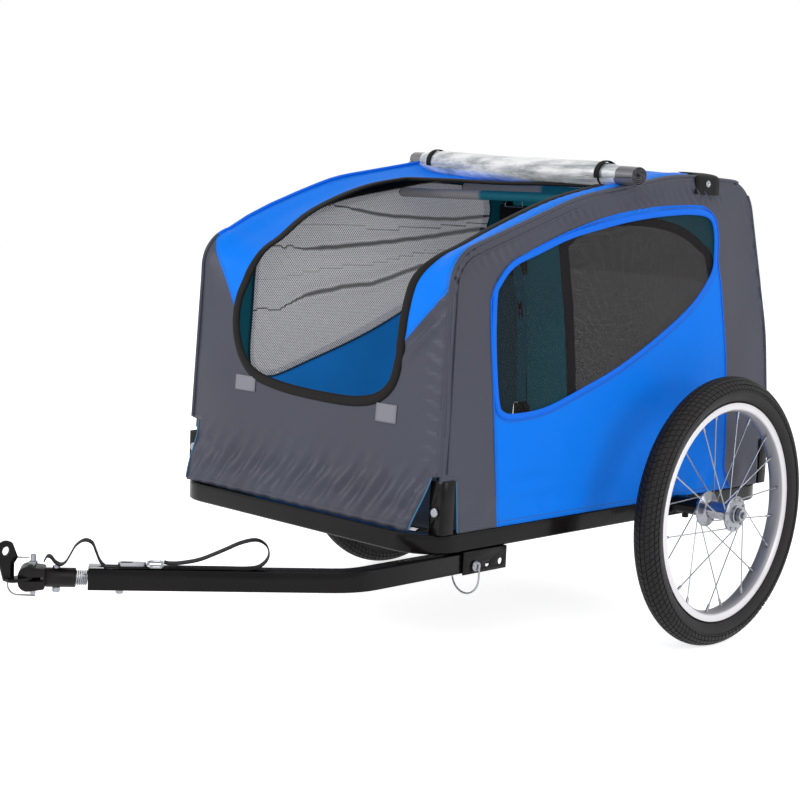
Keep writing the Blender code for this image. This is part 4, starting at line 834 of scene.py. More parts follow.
def profileTable():
    line = roundedLine(cabin["corners"], 3.0)
    dense = [line[0]]
    for a, b in zip(line, line[1:]):
        parts = max(1, int(np.linalg.norm(b - a) / 0.004))
        dense += [a + (b - a) * k / parts for k in range(1, parts + 1)]
    dense = np.array(dense)
    length = np.concatenate([[0], np.cumsum(np.linalg.norm(np.diff(dense, axis=0), axis=1))])
    way = np.gradient(dense, axis=0)
    way /= np.linalg.norm(way, axis=1)[:, None]
    return length, dense[:, 0], dense[:, 1], way[:, 1], -way[:, 0]


profS, profX, profZ, profNx, profNz = profileTable()


def profileAt(s):
    return [np.interp(s, profS, table) for table in (profX, profZ, profNx, profNz)]


# length along the profile where the roof passes above x
def sOfX(x):
    roof = profZ > 0.56
    return float(np.interp(-x, -profX[roof], profS[roof]))


def halfWidth(z):
    return cabin["halfWidth"] - (np.asarray(z) - cabin["ringTop"]) * math.tan(cabin["lean"])


# how much higher the far side's cloth stands than the near side's
def farRaise(x, z):
    return np.interp(x, *zip(*cabin["farRise"])) * ramp(np.asarray(z), 0.47, 0.10)


# how far the far front corner's cloth is drawn back on to its hoop
def farPull(x, z):
    return np.interp(z, *zip(*cabin["farBack"])) * ramp(np.asarray(x), 0.40, 0.08)


# the point on the cabin's curved sheet, lifted along its outward direction
def onProfile(s, y, rise):
    x, z, nx, nz = profileAt(s)
    share = np.clip(y / halfWidth(z), -1, 1)
    far = np.clip(-share, 0, 1)
    crown = cabin["crown"] * ramp(z, 0.56, 0.06) - cabin["rollSag"] * hump(x, 0.118, 0.034) * (z > 0.5)
    crown += cabin["rearCrown"] * ramp(x, 0.085, -0.06) * ramp(x, -0.09, 0.06) * (z > 0.5)
    lift = crown * (1 - share ** 2) + rise
    return np.stack([x - farPull(x, z) * ramp(far, 0.6, 0.4) ** 2 + nx * lift, y,
                     z + farRaise(x, z) * far ** 12 + nz * lift], 1)


def profileNormal(s):
    _, _, nx, nz = profileAt(s)
    return np.stack([nx, np.zeros(len(nx)), nz], 1)


# the place on a side panel of a point of its flat cloth
def sidePlace(side, inset=0.0):
    def place(x, z, rise):
        far = side < 0
        return np.stack([x - far * farPull(x, z), side * (halfWidth(z) - inset + rise), z + far * farRaise(x, z)], 1)
    return place


front = {
    "edge": {1: (0.2138, 0.2377, 0.2777), -1: (0.2330, 0.2330, 0.2920)},  # foot, apex and top of the corner's cut
    "hemFolds": 0.0080, "foldWidth": 0.030, "sag": 0.016, "flare": 0.0125, "ridge": 0.0035, "pucker": 0.019,
    "binding": (0.0135, 0.0046), "patchThick": 0.0012, "welt": 0.0026, "secondWelt": 0.0017, "edging": 0.0010,
    "weltMeets": 0.362, "weltEnd": 0.985, "secondInset": 0.0125,
    "opening": mm(
        (150.5, 69), (155.9, 115), (166.8, 141.5), (185.4, 157.6), (210.5, 164), (233.6, 165), (270.8, 166),
        (304.3, 170), (330, 178), (360, 190), (410, 200), (470, 204), (560, 207), (650, 208), (685, 205), (703, 190),
        (707, 160), (707, 0), (707, -150), (703, -182), (685, -184), (650, -188), (600, -185), (490, -169),
        (400, -151), (332.6, -142), (298.6, -149), (265.5, -160), (227.6, -160), (193.5, -146), (169, -120),
        (158, -80), (152, -18)),
    "border": mm((442, -300), (361.5, -242.7), (323.3, -215.6), (248.6, -162.7), (190, -121), (170, 0), (195, 129),
                 (231.1, 165), (309.2, 243), (370, 300), (2000, 300), (2000, -300)),
    "patches": mm((151.5, -131, 21, 42), (143, 149.5, 24, 37)),
    "creases": ((0.0, 0.0060), (0.014, -0.0042), (0.027, 0.0030)),  # offset and height
}


def sheetEdge(s, side=1):
    z = np.interp(s, profS, profZ)
    foot, apex, top = front["edge"][side]
    cut = foot + (apex - foot) * (z - cabin["ringTop"]) / (top - cabin["ringTop"])
    return np.where(z < top, np.minimum(cut, halfWidth(z) - 0.0018), halfWidth(z) - 0.0018)


# folds above the hem, a slack run round the opening, ridges over the hoops, puckers by the corner seams, creases
def frontPuffs(s, y):
    edge = np.where(y >= 0, sheetEdge(s), sheetEdge(s, -1))
    share, left = np.abs(y) / edge, edge - np.abs(y)
    lean = y - 0.62 * (s - 0.03) + 0.006 * ripple(s, y, 0.05, 3.0)
    folds = np.sin(fullTurn * lean / front["foldWidth"]) * 0.7 + ripple(s, y, 0.030, 7.0)
    rise = front["hemFolds"] * hump(s, 0.040, 0.034) * folds * (0.6 + 0.4 * ripple(s * 0.3, y, 0.09, 5.0))
    flare = front["flare"] * hump(s, 0.0, 0.045)
    rise += flare - front["sag"] * hump(s, 0.375, 0.075) * np.clip(1.35 - 1.35 * share ** 3, 0, 1)
    rise += front["ridge"] * hump(share, 0.93, 0.07) * ramp(s, 0.25, 0.10)
    seam = ramp(left, 0.035, -0.035)
    pucker = np.sin(fullTurn * (s + 0.4 * np.abs(y)) / front["pucker"] + 3 * ripple(s, y, 0.06, 9.0))
    rise += (0.0014 - 0.0011 * ramp(s, 0.30, 0.06)) * (y > 0) * seam * (1 - seam) * 4 * pucker
    crease = (s - 0.215) - (y - 0.174) * 0.95
    rise += hump(y, 0.205, 0.028) * sum(high * hump(crease, at, 0.006) for at, high in front["creases"])
    rise += 0.0018 * ripple(s, y, 0.11, 1.0)
    hold = ramp(left, 0.0, 0.008)
    return rise * hold + flare * (1 - hold)


def buildFront():
    end = sOfX(cabin["roofEnd"])
    notch = {side: float(np.interp(front["edge"][side][2], profZ[:60], profS[:60])) for side in sideNames}
    steps = [notch[side] + shift for side in sideNames for shift in (-2e-4, 2e-4)]
    s = np.sort(np.concatenate([np.linspace(0.0006, end, 170), steps]))
    outer = np.concatenate([np.stack([s, sheetEdge(s)], 1), np.stack([s[::-1], -sheetEdge(s[::-1], -1)], 1)])
    hole = smoothLoop(front["opening"], 4)
    layCloth("frontAndRoofSheet", outer, [hole], onProfile, frontPuffs, ("cloth", "lining"), "front_and_roof_canopy",
             "grey_fabric", border=np.array(front["border"]), flip=True)
    bandOn("openingBinding", onProfile(*hole.T, frontPuffs(*hole.T)), profileNormal(hole[:, 0]), *front["binding"],
           "binding")
    for number, (s0, y0, high, wide) in enumerate(front["patches"]):
        u, v = np.linspace(s0 - high / 2, s0 + high / 2, 9), np.full(9, y0)
        bandOn("hookPatch." + str(number), onProfile(u, v, frontPuffs(u, v) + 0.0008), profileNormal(u), wide,
               front["patchThick"], "patch", closed=False, slot="grey_fabric")

    def welt(name, start, stop, count, material, side):
        s = np.linspace(start, stop, count)
        cordOn(name, onProfile(s, side * (sheetEdge(s, side) + 0.0006), 0.0006), front["welt"], material)

    meets, last, inset = front["weltMeets"], front["weltEnd"], front["secondInset"]
    for side, name in sideNames.items():
        welt(name + "CornerWelt", notch[side] + 0.002, last if side > 0 else meets, 150, "greyCloth", side)
        if side < 0:
            welt("rightRoofWelt", meets, last, 120, "blueEdge", side)
        x, z, nx, nz = profileAt(np.linspace(notch[side] + 0.004, 0.60, 100))
        spots = sidePlace(side)(x - inset * nx, z - inset * nz, 0.0006)
        cordOn(name + "SecondWelt", spots, front["secondWelt"], "greyCloth")
        s = np.linspace(0.003, notch[side] - 0.001, 30)
        y = side * sheetEdge(s, side)
        cordOn(name + "CornerEdging", onProfile(s, y, frontPuffs(s, y)), front["edging"], "edging")


buildFront()
print("front and roof laid")

sides = {
    "notchTop": {1: 0.2705, -1: 0.2920}, "rearTop": 0.2735, "frontFoot": {1: 0.4815, -1: 0.4865}, "rearFoot": -0.2205,
    "bulge": 0.0045, "pleat": 0.0165, "binding": (0.0085, 0.0030), "netHem": 0.0016, "piping": 0.0011,
    "netInset": 0.0024, "netMargin": 0.008, "netMesh": 0.0045, "creaseDepth": 0.0028,
    "window": {
        1: mm((419, 499), (412, 520), (385, 545), (336, 562), (271, 583), (200, 598), (130, 610), (59, 618), (-7, 622),
              (-52, 618), (-70, 599), (-74, 564), (-68, 531), (-23, 487), (62, 441), (155, 400), (251, 369),
              (318, 351), (374, 347), (399, 351), (410, 366), (417, 420)),
        -1: mm((394, 503), (386, 528), (360, 551), (300, 574), (200, 600), (130, 617), (57.3, 628.5), (-1.3, 631),
               (-80, 628), (-102, 617), (-110.3, 599), (-110.4, 580), (-98, 548), (-50, 510), (30, 468),
               (105.9, 435.5), (188.3, 402.7), (274, 373.2), (335, 354), (360.6, 351.3), (380, 355.1), (392, 366),
               (397.2, 390), (396.5, 440))},
    "border": mm((402, 150), (402, 203), (415, 350), (425.5, 480), (424, 504), (413.5, 523.5), (385, 544.8),
                 (351, 561.8), (238, 598.5), (116, 622.2), (-11, 631.2), (-47, 627.5), (-71.5, 612), (-81.5, 583),
                 (-82, 551), (-97, 502), (-113, 419), (-119, 377), (-124, 318), (-123, 238), (-122, 150)),
    "folds": (mm((247.4, 609), (137.4, 596.2), (42.5, 593.7), (-31.9, 593.8), (-108.4, 600.9)),
              mm((327.7, 545), (304.5, 539.7), (223, 544.8), (133.3, 552.4), (39.3, 562.1), (-105.5, 580)),
              mm((347.3, 448.1), (294.5, 468.7), (217.5, 480.9), (150.2, 485.4), (81.6, 503.4), (34.7, 516.9))),
}
roof = profZ > 0.5
topX, topZ = profX[roof][::-1], profZ[roof][::-1]


def sideOutline(side):
    top, foot = sides["notchTop"][side], sides["frontFoot"][side]
    rearTop, rearFoot = sides["rearTop"], sides["rearFoot"]
    low = cabin["ringTop"] + 0.0004
    profile = np.stack([profX, profZ], 1)
    rear = profile[(profX < -0.2) & (profZ < 0.4)]
    over = profile[(profZ > top + 0.002) & ((profX > -0.2) | (profZ > rearTop + 0.002))]
    line = [(foot - 0.003, low), (foot + 0.001, top), (float(np.interp(top, profZ[:60], profX[:60])), top)]
    line += [tuple(p) for p in over[::2]]
    line += [(float(np.interp(rearTop, rear[::-1, 1], rear[::-1, 0])), rearTop), (rearFoot, rearTop),
             (rearFoot + 0.002, low)]
    return np.array(line)


# the side cloth bellies out a little between its seams, with puckers along the top band and dents low down
def sidePuffs(x, z):
    top = np.interp(x, topX, topZ)
    held = ramp(z, cabin["ringTop"], 0.06) * ramp(top - z, 0.0, 0.06)
    rise = sides["bulge"] * np.sin(ramp(x, -0.20, 0.68) * math.pi) * held
    pleat = np.sin(fullTurn * (x - 0.75 * z) / sides["pleat"] + 3 * ripple(x, z, 0.07, 2.0))
    rise += 0.0034 * hump(top - z, 0.024, 0.012) * pleat * np.clip(0.5 + ripple(x * 0.8, z * 0.2, 0.06, 11.0), 0, 1)
    waves = np.sin(fullTurn * (x + 0.3 * z) / 0.055 + 2.5 * ripple(x, z, 0.08, 4.0))
    rise += 0.0010 * hump(z, 0.225, 0.016) * waves + 0.0022 * ripple(x, z, 0.10, 6.0) * held
    dent = hump(z - 0.05 * (x - 0.3), 0.258, 0.009) * hump(x, 0.33, 0.045)
    return rise - 0.0030 * (dent + hump(z, 0.234, 0.010) * hump(x, 0.30, 0.06))


def widened(hole, by):
    middle = hole.mean(0)
    away = hole - middle
    return middle + away * (1 + by / np.linalg.norm(away, axis=1))[:, None]


# window net sewn behind its hole, a little wider than it, drawn into creases along the folds
def layNet(name, hole, place, puffs, looks, flip, node, folds=()):
    found = {}

    def drawn(u, v):
        away, rise = np.full(len(u), 1.0), np.zeros(len(u))
        for fold in folds:
            line = np.array(fold)[::-1]
            line[:, 1] = np.interp(line[:, 1], [0.0, 0.47, 0.5875, 1.0], [0.0, 0.47, 0.57, 0.9825])
            off = v - np.interp(u, line[:, 0], line[:, 1]) - 0.0012 * ripple(u, v * 0.1, 0.03, 8.0)
            ends = ramp(u, line[0, 0] - 0.02, 0.03) * ramp(u, line[-1, 0], -0.06)
            off = off + np.sign(off + 1e-9) * (1 - ends) * 0.004
            rise += ends * (hump(off, 0.006, 0.005) - 0.8 * hump(off, -0.004, 0.005))
            closer = np.abs(off) < np.abs(away)
            away[closer] = off[closer]
        found["crease"] = away
        return puffs(u, v) + sides["creaseDepth"] * rise
    layCloth(name, widened(hole, sides["netMargin"]), [], place, drawn, looks, node, "window_mesh", flip=flip,
             thick=cabin["net"], step=sides["netMesh"] if folds else 0.008, extra=found)


def buildSide(side, name):
    place = sidePlace(side)
    hole = smoothLoop(sides["window"][side], 4)
    border = smoothLoop(sides["border"], 3)
    if side < 0:
        border[:, 0] -= 0.032 * ramp(border[:, 0], 0.3, -0.3) + 0.024 * ramp(border[:, 0], 0.36, 0.04)
    layCloth(name + "SideSheet", sideOutline(side), [hole], place, sidePuffs, ("cloth", "lining"), name + "_side_panel",
             "grey_fabric", border=border, flip=side > 0)
    layNet(name + "WindowNet", hole, sidePlace(side, sides["netInset"]), sidePuffs, ("netOuter", "netInner"), side > 0,
           name + "_window", sides["folds"] if side < 0 else ())
    lean = cabin["lean"]
    normals = np.tile([0.0, side * math.cos(lean), math.sin(lean)], (len(hole), 1))
    bandOn(name + "WindowBinding", place(*hole.T, sidePuffs(*hole.T) + 0.0006), normals, *sides["binding"], "blueEdge",
           slot="grey_fabric")
    if side < 0:
        seam = widened(hole, 0.0075)
        spots = sidePlace(side, sides["netInset"] + 0.0010)(*seam.T, sidePuffs(*seam.T))
        cordOn("rightNetHem", spots, sides["netHem"], "netHem", closed=True)
    line = border[border[:, 1] > cabin["ringTop"] + 0.001]
    cordOn(name + "BorderPiping", place(*line.T, sidePuffs(*line.T) + 0.0004), sides["piping"], "blueEdge")
    foot, top = sides["frontFoot"][side], sides["notchTop"][side]
    x, z = np.linspace(foot - 0.003, foot + 0.001, 12), np.linspace(cabin["ringTop"] + 0.002, top, 12)
    cordOn(name + "NotchEdging", place(x, z, 0.0004), front["edging"], "edging")


for side, name in sideNames.items():
    buildSide(side, name)
print("sides laid")

rear = {
    "door": mm((-140, 290), (-140, 530), (-128, 566), (-85, 590), (-44, 600), (36, 605), (100, 594), (142, 568),
               (158, 530), (160, 290), (150, 268), (120, 262), (-100, 262), (-130, 268)),
    "footWidth": 0.2325, "slack": 0.004, "binding": (0.020, 0.0042), "welt": 0.0024, "weltStart": 1.02,
}


def rearEdge(s):
    z = np.interp(s, profS, profZ)
    return np.where(z > sides["rearTop"] - 0.002, halfWidth(z) - 0.0018, rear["footWidth"])


def rearPuffs(s, y):
    share = np.clip(np.abs(y) / 0.24, 0, 1)
    slack = rear["slack"] * (1 - share ** 2) * ripple(s, y, 0.13, 12.0) + 0.001 * ripple(s, y, 0.04, 13.0)
    return slack * np.clip((1 - share) * 8, 0, 1)


def rearInner(u, v, rise):
    return onProfile(u, v, rise - sides["netInset"])


def buildRear():
    end = profS[-1] - 0.0006
    s = np.linspace(sOfX(cabin["roofEnd"]) + 0.0008, end, 110)
    outer = np.concatenate([np.stack([s, rearEdge(s)], 1), np.stack([s[::-1], -rearEdge(s[::-1])], 1)])
    back = (profX < -0.15) & (profZ < 0.64)
    points = smoothLoop(rear["door"], 3)
    hole = np.stack([np.interp(-points[:, 1], -profZ[back], profS[back]), points[:, 0]], 1)
    layCloth("rearSheet", outer, [hole], onProfile, rearPuffs, ("greyCloth", "rearLining"), "rear_panel", "grey_fabric",
             flip=True)
    layNet("rearDoorNet", hole, rearInner, rearPuffs, ("netDark", "netDark"), True, "rear_window")
    bandOn("rearDoorBinding", onProfile(*hole.T, rearPuffs(*hole.T) + 0.0012), profileNormal(hole[:, 0]),
           *rear["binding"], "binding")
    s = np.linspace(rear["weltStart"], end - 0.075, 70)
    for side, name in sideNames.items():
        cordOn(name + "RearWelt", onProfile(s, side * (rearEdge(s) + 0.0006), 0.0004), rear["welt"], "greyCloth")


buildRear()
print("rear laid")


# fittings on the cabin: tether inside, corner patches, floor cloth, sleeves, rolled cover

fittings = {
    "tab": mm((-186, -236, 500), (-172, -230, 540), (-155, -218, 575), (-150, -214.5, 598), (-150, -214.5, 620.5)),
    "tabBand": (0.047, 0.0030), "ring": 0.0150, "ringWire": 0.0014, "ringTurn": (-10, 190), "diagonal": 0.7071,
    "patchBand": (0.060, 0.0018), "studPlace": (0.0036, -0.0085), "patchX": -0.047,
    "patch": mm((-30, 7.2), (-14, 6.6), (-0.5, 3), (3, -6), (3.4, -24)),  # beyond the edge, above the roof
    "stud": mm((5.2, 0), (5.2, 1.2), (4.4, 2), (3, 3.3), (1.2, 4)),
    "floorInset": 0.0012, "floorCorner": 0.050,
    "rearLeg": ((0.2322, 0.44, 0.6575), (-0.2345, -0.2115, -0.1430)),  # heights, x there
    "barSleeve": 0.0013, "legSleeve": (0.277, 0.60, 0.0087), "cuff": (0.279, 0.310, 0.0092),  # from, to, radius
}


def buildFittings():
    v = fittings
    d = v["diagonal"]
    spots = smoothLoop(v["tab"], 5, closed=False)
    facing = np.array([d, d, 0.0])
    bandOn("tetherTab", spots, np.tile(facing, (len(spots), 1)), *v["tabBand"], "tab", closed=False)
    turn = np.radians(np.linspace(*v["ringTurn"], 26))[:, None]
    loop = spots[-1] + 0.001 * facing + v["ring"] * (np.cos(turn) * (-d, d, 0) + np.sin(turn) * (0, 0, 1))
    cordOn("tetherRing", np.concatenate([loop, loop[:1]]), v["ringWire"], "bright")

    x0 = v["patchX"]
    top = float(np.interp(sOfX(x0), profS, profZ))
    edge = float(halfWidth(top))
    for side, name in sideNames.items():
        raised = cabin["farLift"] * (side < 0)
        line = np.array([(x0, side * (edge + out), top + up + raised) for out, up in v["patch"]])
        fine = smoothLoop(line, 5, closed=False)
        out = -np.cross(np.gradient(fine, axis=0), [1.0, 0, 0])
        bandOn(name + "CornerPatch", fine, out, *v["patchBand"], "strap", closed=False)
        beyond, up = v["studPlace"]
        place = Matrix.Translation((x0, side * (edge + beyond), top + up + raised))
        stud = turnMesh(turned(v["stud"], 28), place @ Matrix.Rotation(-side * math.pi / 2, 4, "X"))
        settle(stud, name + "SnapStud", "bright", angle=50, node=name + "_roof_snap", slot="bright_steel", fold=True)

    low, high = nodeBox("floor_panel")
    (x0, y0), (x1, y1) = low[:2] + v["floorInset"], high[:2] - v["floorInset"]
    outline = roundedLine([(x, y, v["floorCorner"]) for x, y in ((x0, y0), (x1, y0), (x1, y1), (x0, y1))], 6.0, True)

    def floorPlace(x, y, rise):
        return np.stack([x, y, high[2] - 0.0004 + rise], 1)

    def floorPuffs(x, y):
        far = np.clip(np.min([x - low[0], high[0] - x, y - low[1], high[1] - y], 0) / 0.05, 0, 1)
        return far * (0.0015 * ripple(x, y, 0.14, 20.0) - 0.0012)
    layCloth("floorCloth", outline, [], floorPlace, floorPuffs, ("floorCloth", "floorCloth"), "floor_panel",
             "black_fabric", step=0.012, fold=False)


# cloth channels that the roof bars and the far hoop's legs run in
def buildSleeves():
    def sleeve(name, spots, radius, material, body):
        cordOn(name, spots, radius, material, sides=16, fold=False, body=body, slot="grey_fabric")

    for name, node in (("frontBarSleeve", "front_roof_bar"), ("rearBarSleeve", "rear_roof_bar")):
        low, high = nodeBox(node)
        y = np.linspace(low[1] + 0.004, high[1] - 0.004, 40)
        middle = (low + high) / 2
        spots = np.stack([np.full(40, middle[0]), y, middle[2] + 0.0003 * ripple(y, y, 0.03, 5.0)], 1)
        sleeve(name, spots, (high[2] - low[2]) / 2 + fittings["barSleeve"], "sleeve", node)
    lean = math.tan(cabin["lean"])
    start, end, radius = fittings["legSleeve"]
    z = np.linspace(start, end, 40)
    leg = np.stack([np.interp(z, *fittings["rearLeg"]), -(0.2415 - (z - 0.25) * lean), z], 1)
    sleeve("rearLegSleeve", smoothLoop(leg[::4], 4, closed=False), radius, "sleeve", "right_hoop")
    start, end, radius = fittings["cuff"]
    z = np.linspace(start, end, 12)
    cuff = np.stack([0.4955 - (z - 0.25) * 0.028, -(0.2413 - (z - 0.25) * lean), z], 1)
    sleeve("frontLegCuff", cuff, radius, "greyCloth", "right_hoop")


buildFittings()
buildSleeves()

cover = {
    "near": (0.1454, 0.258, 0.6680), "far": (0.0436, -0.264, 0.6877), "lift": -0.0036, "bow": 0.016, "radius": 0.0205,
    "endRadius": 0.0152, "core": 0.0036, "turns": 4.2, "sheet": 0.0006, "strapAt": (0.884, 0.126), "strapWidth": 0.011,
    "strapThick": 0.0018, "rows": 92, "perTurn": 36,
}
coverNear, coverFar = np.array(cover["near"]), np.array(cover["far"])
coverLength = float(np.linalg.norm(coverNear - coverFar))
coverAlong = (coverNear - coverFar) / coverLength
coverAcross = np.cross(coverAlong, [0, 0, 1.0])
coverAcross /= np.linalg.norm(coverAcross)
coverUp = np.cross(coverAcross, coverAlong)


def coverCentre(share):
    bulge = 1 - (2 * share - 1) ** 2
    return coverFar + share * (coverNear - coverFar) + bulge * np.array((cover["bow"], 0, cover["lift"]))


# thick where the sheet is wound, thinner at the cloth ends, drawn in under the straps
def coverRadius(share):
    away = np.clip((np.minimum(share, 1 - share) * coverLength - 0.030) / 0.040, 0, 1)
    full = cover["endRadius"] + (cover["radius"] - cover["endRadius"]) * away * away * (3 - 2 * away)
    return full * (1 - 0.06 * sum(math.exp(-((share - at) * coverLength / 0.011) ** 2) for at in cover["strapAt"]))


def coverSquat(share):
    return 1.04 - 0.16 * abs(2 * share - 1) ** 6


def buildCover():
    rows, cols, core = cover["rows"], int(cover["perTurn"] * cover["turns"]), cover["core"]
    share, turn = np.linspace(0, 1, rows), np.linspace(0, 1, cols)
    angle = fullTurn * cover["turns"] * turn - math.pi / 2
    verts = []
    for q in share:
        soft = np.array([noise.noise(Vector((math.cos(a) * 1.4, math.sin(a) * 1.4, q * 9.0 + 3.0))) for a in angle])
        radius = core + (coverRadius(q) - core) * turn + 0.0009 * soft * turn
        shift = 0.0022 * (turn - 0.5) * (1 if q > 0.5 else -1) * (abs(q - 0.5) > 0.49)
        across, up = np.cos(angle)[:, None] * coverAcross, np.sin(angle)[:, None] * coverUp * coverSquat(q)
        verts.append(coverCentre(q) + radius[:, None] * (across + up) + shift[:, None] * coverAlong)
    verts = np.concatenate(verts)
    faces = [(i * cols + k, i * cols + k + 1, (i + 1) * cols + k + 1, (i + 1) * cols + k)
             for i in range(rows - 1) for k in range(cols - 1)]
    obj = meshObject("rolledCover", verts, faces)
    writeAttribute(obj, "along", np.repeat(np.minimum(share, 1 - share) * coverLength, cols))
    writeAttribute(obj, "across", np.tile(turn, rows))
    solid = obj.modifiers.new("sheet", "SOLIDIFY")
    solid.thickness, solid.offset = cover["sheet"], 0
    applyModifiers(obj)
    settle(cleaned(obj, merge=False), "rolledCover", "cover", angle=50, node="rain_cover_roll", slot="clear_sheet")
    foldAway(obj)
    angles = np.linspace(0, fullTurn, 48, endpoint=False)
    out = np.cos(angles)[:, None] * coverAcross + np.sin(angles)[:, None] * coverUp
    back = ((-math.pi / 2 - angles) % fullTurn) / (fullTurn * cover["turns"])
    for name, at in zip(sideNames.values(), cover["strapAt"]):
        reach = np.sqrt(np.cos(angles) ** 2 + (coverSquat(at) * np.sin(angles)) ** 2)
        snug = core + (coverRadius(at) - core) * (1 - 0.8 * back)
        spots = coverCentre(at) + out * (snug * reach + 0.0012)[:, None]
        bandOn(name + "CoverStrap", spots, out, cover["strapWidth"], cover["strapThick"], "strap",
               node=name + "_roll_strap")


buildCover()
print("cover rolled")


# wheels

wheel = {
    "tyreMiddle": 0.1757, "tyreSection": 0.0187, "blockHeight": 0.0014, "segments": 126, "around": 36, "slant": 0.012,
    "rim": mm((158.8, 12.5), (158.8, 10.8), (153.5, 9.8), (149.8, 6.6), (149.2, 0), (149.8, -6.6), (153.5, -9.8),
              (158.8, -10.8), (158.8, -12.5), (157, -13.1), (150, -12.7), (146.8, -9.2), (145.5, -4), (145.5, 4),
              (146.8, 9.2), (150, 12.7), (157, 13.1)),
    "hub": mm((10.2, 30.3), (11.8, 30.7), (13, 29.6), (13, 26.4), (25, 25.7), (26, 24.9), (26, 22.1), (25, 21.3),
              (16, 19.6), (12.8, 16.5), (12, 0)),  # down to its middle; the rest mirrors it
    "flange": 0.0235, "holeRadius": 0.0222, "rimRadius": 0.1462, "offset": 54.3, "spoke": 0.00095,
    "nipple": mm((2.1, -0.5), (2.3, 0.6), (2, 1.8), (1.9, 10.5), (1.3, 12.2)),
    "head": mm((1.2, -2.6), (2.1, -2.2), (2.1, -1.2), (1.2, -0.6), (1, 3)),
}
hubProfile = wheel["hub"] + tuple((radius, -height) for radius, height in wheel["hub"][-2::-1])


def ownCopy(obj, matrix):
    twin = obj.copy()
    twin.data = obj.data.copy()
    bpy.context.scene.collection.objects.link(twin)
    return turnMesh(twin, matrix)


def rodBetween(start, end, radius):
    bpy.ops.object.select_all(action="DESELECT")
    way = end - start
    bpy.ops.mesh.primitive_cylinder_add(vertices=8, radius=radius, depth=way.length, location=(start + end) / 2,
                                        rotation=way.to_track_quat("Z", "Y").to_euler())
    bpy.ops.object.transform_apply(location=True, rotation=True, scale=True)
    return bpy.context.object


# a torus whose tread is cut into small blocks by slanting grooves
def makeTyre():
    v = wheel
    bpy.ops.mesh.primitive_torus_add(major_radius=v["tyreMiddle"], minor_radius=v["tyreSection"],
                                     major_segments=v["segments"], minor_segments=v["around"], location=(0, 0, 0),
                                     rotation=(math.pi / 2, 0, 0))
    obj = bpy.context.object
    bpy.ops.object.transform_apply(location=False, rotation=True, scale=False)
    bpy.ops.object.mode_set(mode="EDIT")
    bpy.ops.mesh.select_mode(type="VERT")
    mesh = bmesh.from_edit_mesh(obj.data)
    step, stepV = 360 / v["around"], 360 / v["segments"]

    def rowOf(spot):
        return math.degrees(math.atan2(spot.y, math.hypot(spot.x, spot.z) - v["tyreMiddle"])) / step

    for vert in mesh.verts:
        turn = v["slant"] * min(abs(rowOf(vert.co)), 9)
        x, z = vert.co.x, vert.co.z
        vert.co.x, vert.co.z = x * math.cos(turn) - z * math.sin(turn), x * math.sin(turn) + z * math.cos(turn)
    kinds = []  # 1 and 2 are the two sets of blocks, 0 the sidewalls
    for face in mesh.faces:
        spot = face.calc_center_median()
        row = rowOf(spot)
        strip = int(abs(row))
        angle = math.degrees(math.atan2(spot.z, spot.x)) - math.degrees(v["slant"]) * abs(row)
        column = round(angle / stepV - 0.5) % v["segments"]
        kinds.append(1 + (column + strip // 2 + (row < 0)) % 2 if strip <= 8 else 0)
    bpy.ops.object.mode_set(mode="OBJECT")
    obj.data.attributes.new("block", "INT", "FACE").data.foreach_set("value", kinds)
    for turn in (1, 2):
        bpy.ops.object.mode_set(mode="EDIT")
        bpy.ops.mesh.select_mode(type="FACE")
        bpy.ops.mesh.select_all(action="DESELECT")
        mesh = bmesh.from_edit_mesh(obj.data)
        block = mesh.faces.layers.int["block"]
        for face in mesh.faces:
            face.select = face[block] == turn
        bmesh.update_edit_mesh(obj.data)
        bpy.ops.mesh.inset(thickness=0.00055)
        bpy.ops.mesh.extrude_region_shrink_fatten(TRANSFORM_OT_shrink_fatten={"value": v["blockHeight"]})
        mesh = bmesh.from_edit_mesh(obj.data)
        block = mesh.faces.layers.int["block"]
        for face in mesh.faces:
            if face.select or face[block] == turn:
                face[block] = 0
        bmesh.update_edit_mesh(obj.data)
        bpy.ops.object.mode_set(mode="OBJECT")
    return obj


# twenty crossed spokes: those of one flange lean forwards, the other's back, each with its nipple and head
def makeSpokes():
    v = wheel
    pieces = []
    for side, phase in ((1, 9), (-1, 27)):
        a0, a1 = math.radians(phase), math.radians(phase + side * v["offset"])
        start = Vector((v["holeRadius"] * math.cos(a0), side * v["flange"], v["holeRadius"] * math.sin(a0)))
        end = Vector((v["rimRadius"] * math.cos(a1), side * 0.0030, v["rimRadius"] * math.sin(a1)))
        way = (end - start).normalized()
        facing = Matrix.Translation(end) @ (-way).to_track_quat("Z", "Y").to_matrix().to_4x4()
        nipple = turnMesh(turned(v["nipple"], 10), facing)
        facing = Matrix.Translation(start + Vector((0, side * 0.0012, 0))) @ Matrix.Rotation(side * math.pi / 2, 4, "X")
        head = turnMesh(turned(v["head"], 10), facing)
        one = joined([rodBetween(start + way * 0.0004, end - way * 0.002, v["spoke"]), nipple, head], "spoke")
        pieces += [ownCopy(one, Matrix.Rotation(k * math.pi / 5, 4, "Y")) for k in range(1, 10)] + [one]
    return joined(pieces, "spokes")


